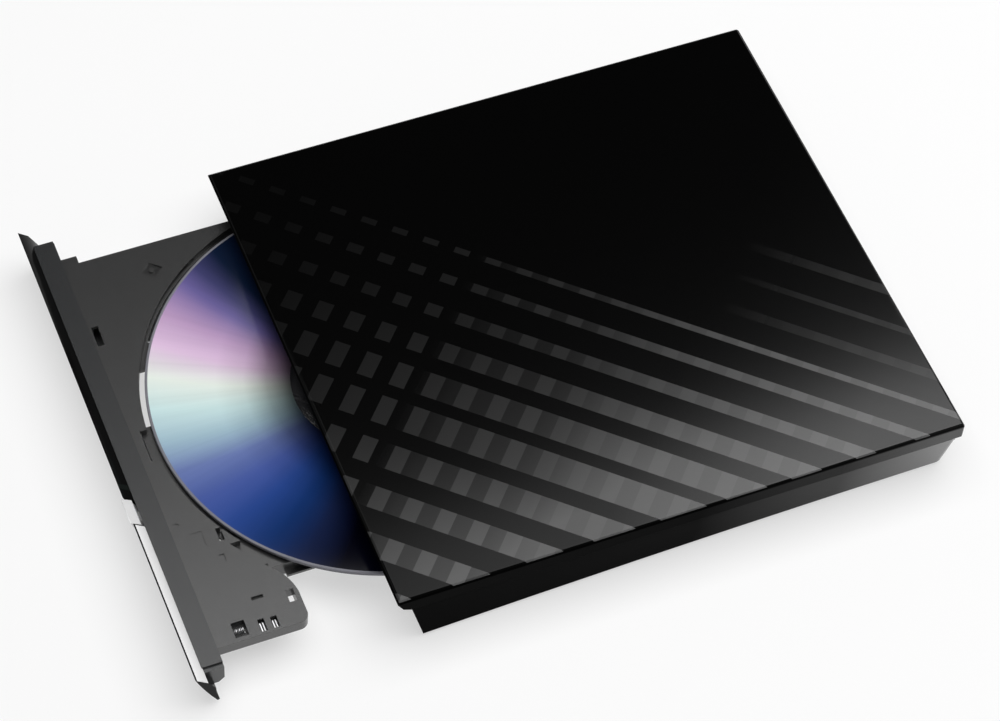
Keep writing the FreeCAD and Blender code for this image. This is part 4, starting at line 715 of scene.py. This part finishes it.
panel_tip = 0.0157
tip_edge = -0.1034
panel_slant = 0.95
strip_drop = 0.0004
painted_reflection_white = 0.92
panel_grey = 0.003
# Painted reflection: the white strip on the panel's top edge stands for the soft panel reflected in its
# slanted face.
strip, strip_in, strip_out = effect(
    "panel_strip",
    [("Vector", "Vector", None), ("Start", "Float", 0.0247)],
    [("Color", "Color")],
)
strip_parts = node(strip, "ShaderNodeSeparateXYZ", inputs={"Vector": strip_in.outputs["Vector"]})
below_tip = math_node(strip, "SUBTRACT", panel_tip, strip_parts.outputs["Z"])
slope_edge = math_node(strip, "MULTIPLY_ADD", below_tip, panel_slant, tip_edge)
behind = math_node(strip, "GREATER_THAN", strip_parts.outputs["Y"], slope_edge)
inside = math_node(strip, "GREATER_THAN", below_tip, strip_drop)
near_half = math_node(strip, "GREATER_THAN", strip_parts.outputs["X"], strip_in.outputs["Start"])
reflection_mask = math_node(strip, "MULTIPLY", math_node(strip, "MULTIPLY", behind, inside), near_half)
panel_and_reflection_shade = math_node(strip, "MULTIPLY_ADD", reflection_mask, painted_reflection_white, panel_grey)
strip.links.new(panel_and_reflection_shade, strip_out.inputs["Color"])
panel_black = plain_material("panel_gloss_black", (0.004, 0.004, 0.004), 0.15, specular=0.04)
use_effect(panel_black, strip, "Base Color", "Color")
panel = clean_copy("front_panel", "panel", 0.0003, 3)
finish_piece(panel, panel_black, "tray", "panel_gloss_black", "front_panel")

button_silver = plain_material("button_silver", (0.93, 0.93, 0.93), 0.3, metallic=0.3)
use_effect(button_silver, grain, scale=5000.0, depth=0.1)
button = clean_copy("eject_button", "button_cap", 0.0002)
finish_piece(button, button_silver, "button", "button_silver", "eject_button")

light_pipe = plain_material("light_pipe", (0.006, 0.008, 0.007), 0.2, specular=0.1)
use_effect(light_pipe, grain, scale=8000.0, depth=0.1)
keep_cad(light_pipe, "light_pipe", "led_pipe")

# Traverse, motors and pickup.
# The traverse hangs in rubber dampers; the pickup sled runs on two ground rods, driven by the lead screw.
keep_cad(rubber, "rubber_black", "traverse_dampers")
motor_steel = metal("motor_steel", (0.5, 0.5, 0.52), (4000.0, 4000.0, 300.0), 0.2)
keep_cad(motor_steel, "motor_steel", "spindle_motor", "sled_motor", "latch_solenoid")
hub_metal = metal("hub_metal", (0.6, 0.6, 0.6), (4000.0, 4000.0, 4000.0), 0.1)
disc_centre = Vector((0.0008, -0.0295, 0.0))
turned_fold = math.radians(30)


def turned(name, profile, centre, steps):
    """A body turned about an upright line through the centre; its profile is (radius, height) in mm."""
    corners, faces = [], []
    for step in range(steps):
        bearing = 2 * math.pi * step / steps
        for radius, height in profile:
            reach = radius / 1000
            place = (centre.x + reach * math.cos(bearing), centre.y + reach * math.sin(bearing))
            corners.append((*place, height / 1000))
    count = len(profile)
    for step in range(steps):
        here, ahead = step * count, (step + 1) % steps * count
        for place in range(count):
            after = (place + 1) % count
            faces.append((here + place, ahead + place, ahead + after, here + after))
    mesh = bpy.data.meshes.new(name)
    mesh.from_pydata(corners, [], faces)
    shape = bmesh.new()
    shape.from_mesh(mesh)
    bmesh.ops.remove_doubles(shape, verts=shape.verts, dist=fine_weld)
    bmesh.ops.recalc_face_normals(shape, faces=shape.faces)
    shape.to_mesh(mesh)
    shape.free()
    mesh.polygons.foreach_set("use_smooth", [True] * len(mesh.polygons))
    mesh.set_sharp_from_angle(angle=turned_fold)
    made = bpy.data.objects.new(name, mesh)
    bpy.context.scene.collection.objects.link(made)
    return made


hub_profile = [
    (0, 6.3), (1, 6.3), (1, 8.5), (13.2, 8.5), (13.4, 8.7), (13.4, 10.5), (13.2, 10.7), (7.35, 10.7),
    (7.35, 12.1), (7.2, 12.3), (6.2, 13.05), (5.9, 13.2), (2.2, 13.2), (2.0, 13.0), (0, 13.0)]
hub = turned("hub_and_rotor", hub_profile, disc_centre, 96)
claw_count = 3
pocket_room = Matrix.Translation((0.0064, 0, 0.0127)) @ Matrix.Diagonal((0.0052, 0.0024, 0.0030, 1))
pocket_mesh = bpy.data.meshes.new("claw_pockets")
pocket_shape = bmesh.new()
for number in range(claw_count):
    spin = Matrix.Translation(disc_centre) @ Matrix.Rotation(number * 2 * math.pi / claw_count, 4, "Z")
    bmesh.ops.create_cube(pocket_shape, size=1.0, matrix=spin @ pocket_room)
pocket_shape.to_mesh(pocket_mesh)
pocket_shape.free()
pockets = bpy.data.objects.new("claw_pockets", pocket_mesh)
bpy.context.scene.collection.objects.link(pockets)
cutting = hub.modifiers.new("pockets", "BOOLEAN")
cutting.operation = "DIFFERENCE"
cutting.object = pockets
settle(hub)
bpy.data.objects.remove(pockets)
hub.data.set_sharp_from_angle(angle=turned_fold)
finish_piece(hub, hub_metal, "spindle", "hub_metal", "turntable")
pad_profile = [(9.6, 10.7), (13.2, 10.7), (13.2, 10.9), (13.1, 11), (9.7, 11), (9.6, 10.9)]
pad = turned("disc_pad", pad_profile, disc_centre, 96)
finish_piece(pad, rubber, "spindle", "rubber_black", "turntable_pad")
claw_plastic = plain_material("claw_plastic", (0.02, 0.02, 0.02), 0.35)
use_effect(claw_plastic, grain, scale=4000.0, depth=0.2)
keep_cad(claw_plastic, "claw_plastic", "chuck_claw_a", "chuck_claw_b", "chuck_claw_c", "screw_nut",
         "latch_lever")
sled_metal = metal("sled_metal", (0.42, 0.42, 0.43), (2500.0, 2500.0, 2500.0), 0.4)
keep_cad(sled_metal, "sled_metal", "pickup_sled")
dome_radius = 1.6
dome_height = 0.25
dome_foot = 9.95
lens_glass = plain_material("lens_glass", (0.02, 0.05, 0.16), 0.04)
lens_coat, lens_in, lens_out = effect(
    "lens_coating",
    [("Vector", "Vector", None), ("Centre", "Vector", (0.0, 0.0, 0.0)),
     ("Radius", "Float", dome_radius / 1000)],
    [("Color", "Color")],
)
lens_offset = node(lens_coat, "ShaderNodeVectorMath", operation="DISTANCE", inputs={
    0: lens_in.outputs["Vector"], 1: lens_in.outputs["Centre"]})
lens_fac = math_node(lens_coat, "DIVIDE", lens_offset.outputs["Value"], lens_in.outputs["Radius"])
lens_shade = ramp_node(lens_coat, lens_fac, [
    (0.0, (0.004, 0.012, 0.05)), (0.6, (0.01, 0.05, 0.16)), (0.96, (0.05, 0.03, 0.14)),
    (1.0, (0.2, 0.2, 0.2))])
lens_coat.links.new(lens_shade, lens_out.inputs["Color"])
lens_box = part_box("objective_lens")
lens_centre = Vector(((lens_box[0][0] + lens_box[1][0]) / 2, (lens_box[0][1] + lens_box[1][1]) / 2, 0.0))
call, shader = use_effect(lens_glass, lens_coat, "Base Color", "Color")
call.inputs["Centre"].default_value = (lens_centre.x, lens_centre.y, lens_box[1][2])
lens_profile = [(0, 8.8), (2.18, 8.8), (2.18, 9.9), (2.13, dome_foot)]
for angle in range(0, 91, 10):
    climb = math.radians(angle)
    lens_profile.append((dome_radius * math.cos(climb), dome_foot + dome_height * math.sin(climb)))
lens = turned("lens_dome", lens_profile, lens_centre, 64)
finish_piece(lens, lens_glass, "lens", "lens_glass", "objective_lens")

# Disc.
# The 120 mm disc is pressed from polycarbonate, with a stacking ring below and a groove above, and held by
# the hub's claws. Its metal layer's fan of colours and white highlight are painted reflection, set by
# bearing round the disc and dimmer towards the middle; its middle and its rim stay clear.
disc_profile = [
    (7.5, 11.2), (7.7, 11.1), (16.4, 11.1), (16.6, 11.0), (17.4, 11.0), (17.6, 11.1), (59.8, 11.1),
    (60, 11.25), (60, 12.05), (59.85, 12.2), (23.2, 12.2), (23.0, 12.1), (22.6, 12.1), (22.4, 12.2),
    (7.7, 12.2), (7.5, 12.1)]
disc = turned("recorded_disc", disc_profile, disc_centre, 160)

disc_radius = 0.060
band_start = 0.377
band_end = 0.985
rim_start = 0.9
clear_alpha = 0.45
fan_lag = 0.035
# Painted reflection: the fan paints the disc's diffraction colours and the soft panel's white highlight into
# the base colour by bearing.
fan, fan_in, fan_out = effect(
    "colour_fan",
    [("Vector", "Vector", None), ("Streaks", "Float", 0.35)],
    [("Color", "Color"), ("Alpha", "Float")],
)
from_centre = node(fan, "ShaderNodeMapping", inputs={
    "Location": (-disc_centre.x, -disc_centre.y, 0), "Scale": (1, 1, 0),
    "Vector": fan_in.outputs["Vector"]})
fan_parts = node(fan, "ShaderNodeSeparateXYZ", inputs={"Vector": from_centre.outputs["Vector"]})
distance = node(fan, "ShaderNodeVectorMath", operation="LENGTH", inputs={0: from_centre.outputs["Vector"]})
radius_fac = math_node(fan, "MULTIPLY", distance.outputs["Value"], 1 / disc_radius)
bearing = math_node(fan, "ARCTAN2", fan_parts.outputs["Y"], fan_parts.outputs["X"])
lag = math_node(fan, "MULTIPLY_ADD", radius_fac, fan_lag, 1 - fan_lag)
round_fac = math_node(fan, "FRACT", math_node(fan, "MULTIPLY_ADD", bearing, 0.5 / math.pi, lag))
# bearing in degrees and painted reflection colour, going round the disc
painted_reflection_colours = [
    (0, (0.001, 0.002, 0.006)), (30, (0.004, 0.01, 0.03)), (52, (0.1, 0.08, 0.2)), (66, (0.35, 0.4, 0.42)),
    (80, (0.25, 0.38, 0.45)), (100, (0.03, 0.08, 0.25)), (130, (0.002, 0.005, 0.02)),
    (195, (0.002, 0.005, 0.015)), (207, (0.005, 0.012, 0.035)), (214, (0.05, 0.05, 0.14)),
    (220, (0.147, 0.12, 0.319)), (230, (0.5, 0.33, 0.54)), (240, (0.73, 0.53, 0.73)),
    (250, (0.78, 0.84, 0.78)), (260, (0.58, 0.76, 0.76)), (270, (0.352, 0.503, 0.591)),
    (280, (0.141, 0.191, 0.418)), (290, (0.061, 0.098, 0.328)), (300, (0.021, 0.058, 0.246)),
    (310, (0.007, 0.03, 0.133)), (320, (0.007, 0.013, 0.048)), (330, (0.001, 0.001, 0.005)),
    (359.9, (0.001, 0.002, 0.006))]
reflection_colour = ramp_node(fan, round_fac, [(degrees / 360, shade) for degrees, shade in painted_reflection_colours])
outward = node(fan, "ShaderNodeVectorMath", operation="NORMALIZE", inputs={
    0: from_centre.outputs["Vector"]})
streak_noise = node(fan, "ShaderNodeTexNoise", inputs={
    "Scale": 7.0, "Detail": 6.0, "Roughness": 0.7, "Vector": outward.outputs[0]})
streak_swing = math_node(fan, "SUBTRACT", streak_noise.outputs["Fac"], 0.5)
streak_share = math_node(fan, "MULTIPLY_ADD", streak_swing, fan_in.outputs["Streaks"], 1.0)
inner_fade = ramp_node(fan, radius_fac, [(0.375, 0.08), (0.48, 0.35), (0.58, 0.8), (0.7, 1.0), (0.95, 1.02)])
strength = math_node(fan, "MULTIPLY", inner_fade, streak_share)
band_colour = node(fan, "ShaderNodeVectorMath", operation="SCALE", inputs={
    0: reflection_colour, "Scale": strength})
metal_band = ramp_node(fan, radius_fac, [(0.0, 0.0), (band_start, 1.0), (band_end, 0.0)], "CONSTANT")
band_part = node(fan, "ShaderNodeVectorMath", operation="SCALE", inputs={
    0: band_colour.outputs[0], "Scale": metal_band})
clear_share = math_node(fan, "SUBTRACT", 1.0, metal_band)
clear_depth = ramp_node(fan, radius_fac, [(0.0, 0.12), (rim_start, 1.0)], "CONSTANT")
clear_tint = (0.2, 0.2, 0.225)
clear_part = node(fan, "ShaderNodeVectorMath", operation="SCALE", inputs={
    0: clear_tint, "Scale": math_node(fan, "MULTIPLY", clear_share, clear_depth)})
fan_sum = node(fan, "ShaderNodeVectorMath", operation="ADD", inputs={
    0: band_part.outputs[0], 1: clear_part.outputs[0]})
fan.links.new(fan_sum.outputs[0], fan_out.inputs["Color"])
see_through = ramp_node(fan, radius_fac, [(0.0, clear_alpha), (band_start, 1.0)], "CONSTANT")
fan.links.new(see_through, fan_out.inputs["Alpha"])
disc_recorded = plain_material("disc_recorded", (0.5, 0.5, 0.5), 0.15, specular=0.12)
call, shader = use_effect(disc_recorded, fan, "Base Color", "Color")
disc_recorded.node_tree.links.new(call.outputs["Alpha"], shader.inputs["Alpha"])
finish_piece(disc, disc_recorded, "spindle", "disc_recorded", "disc")
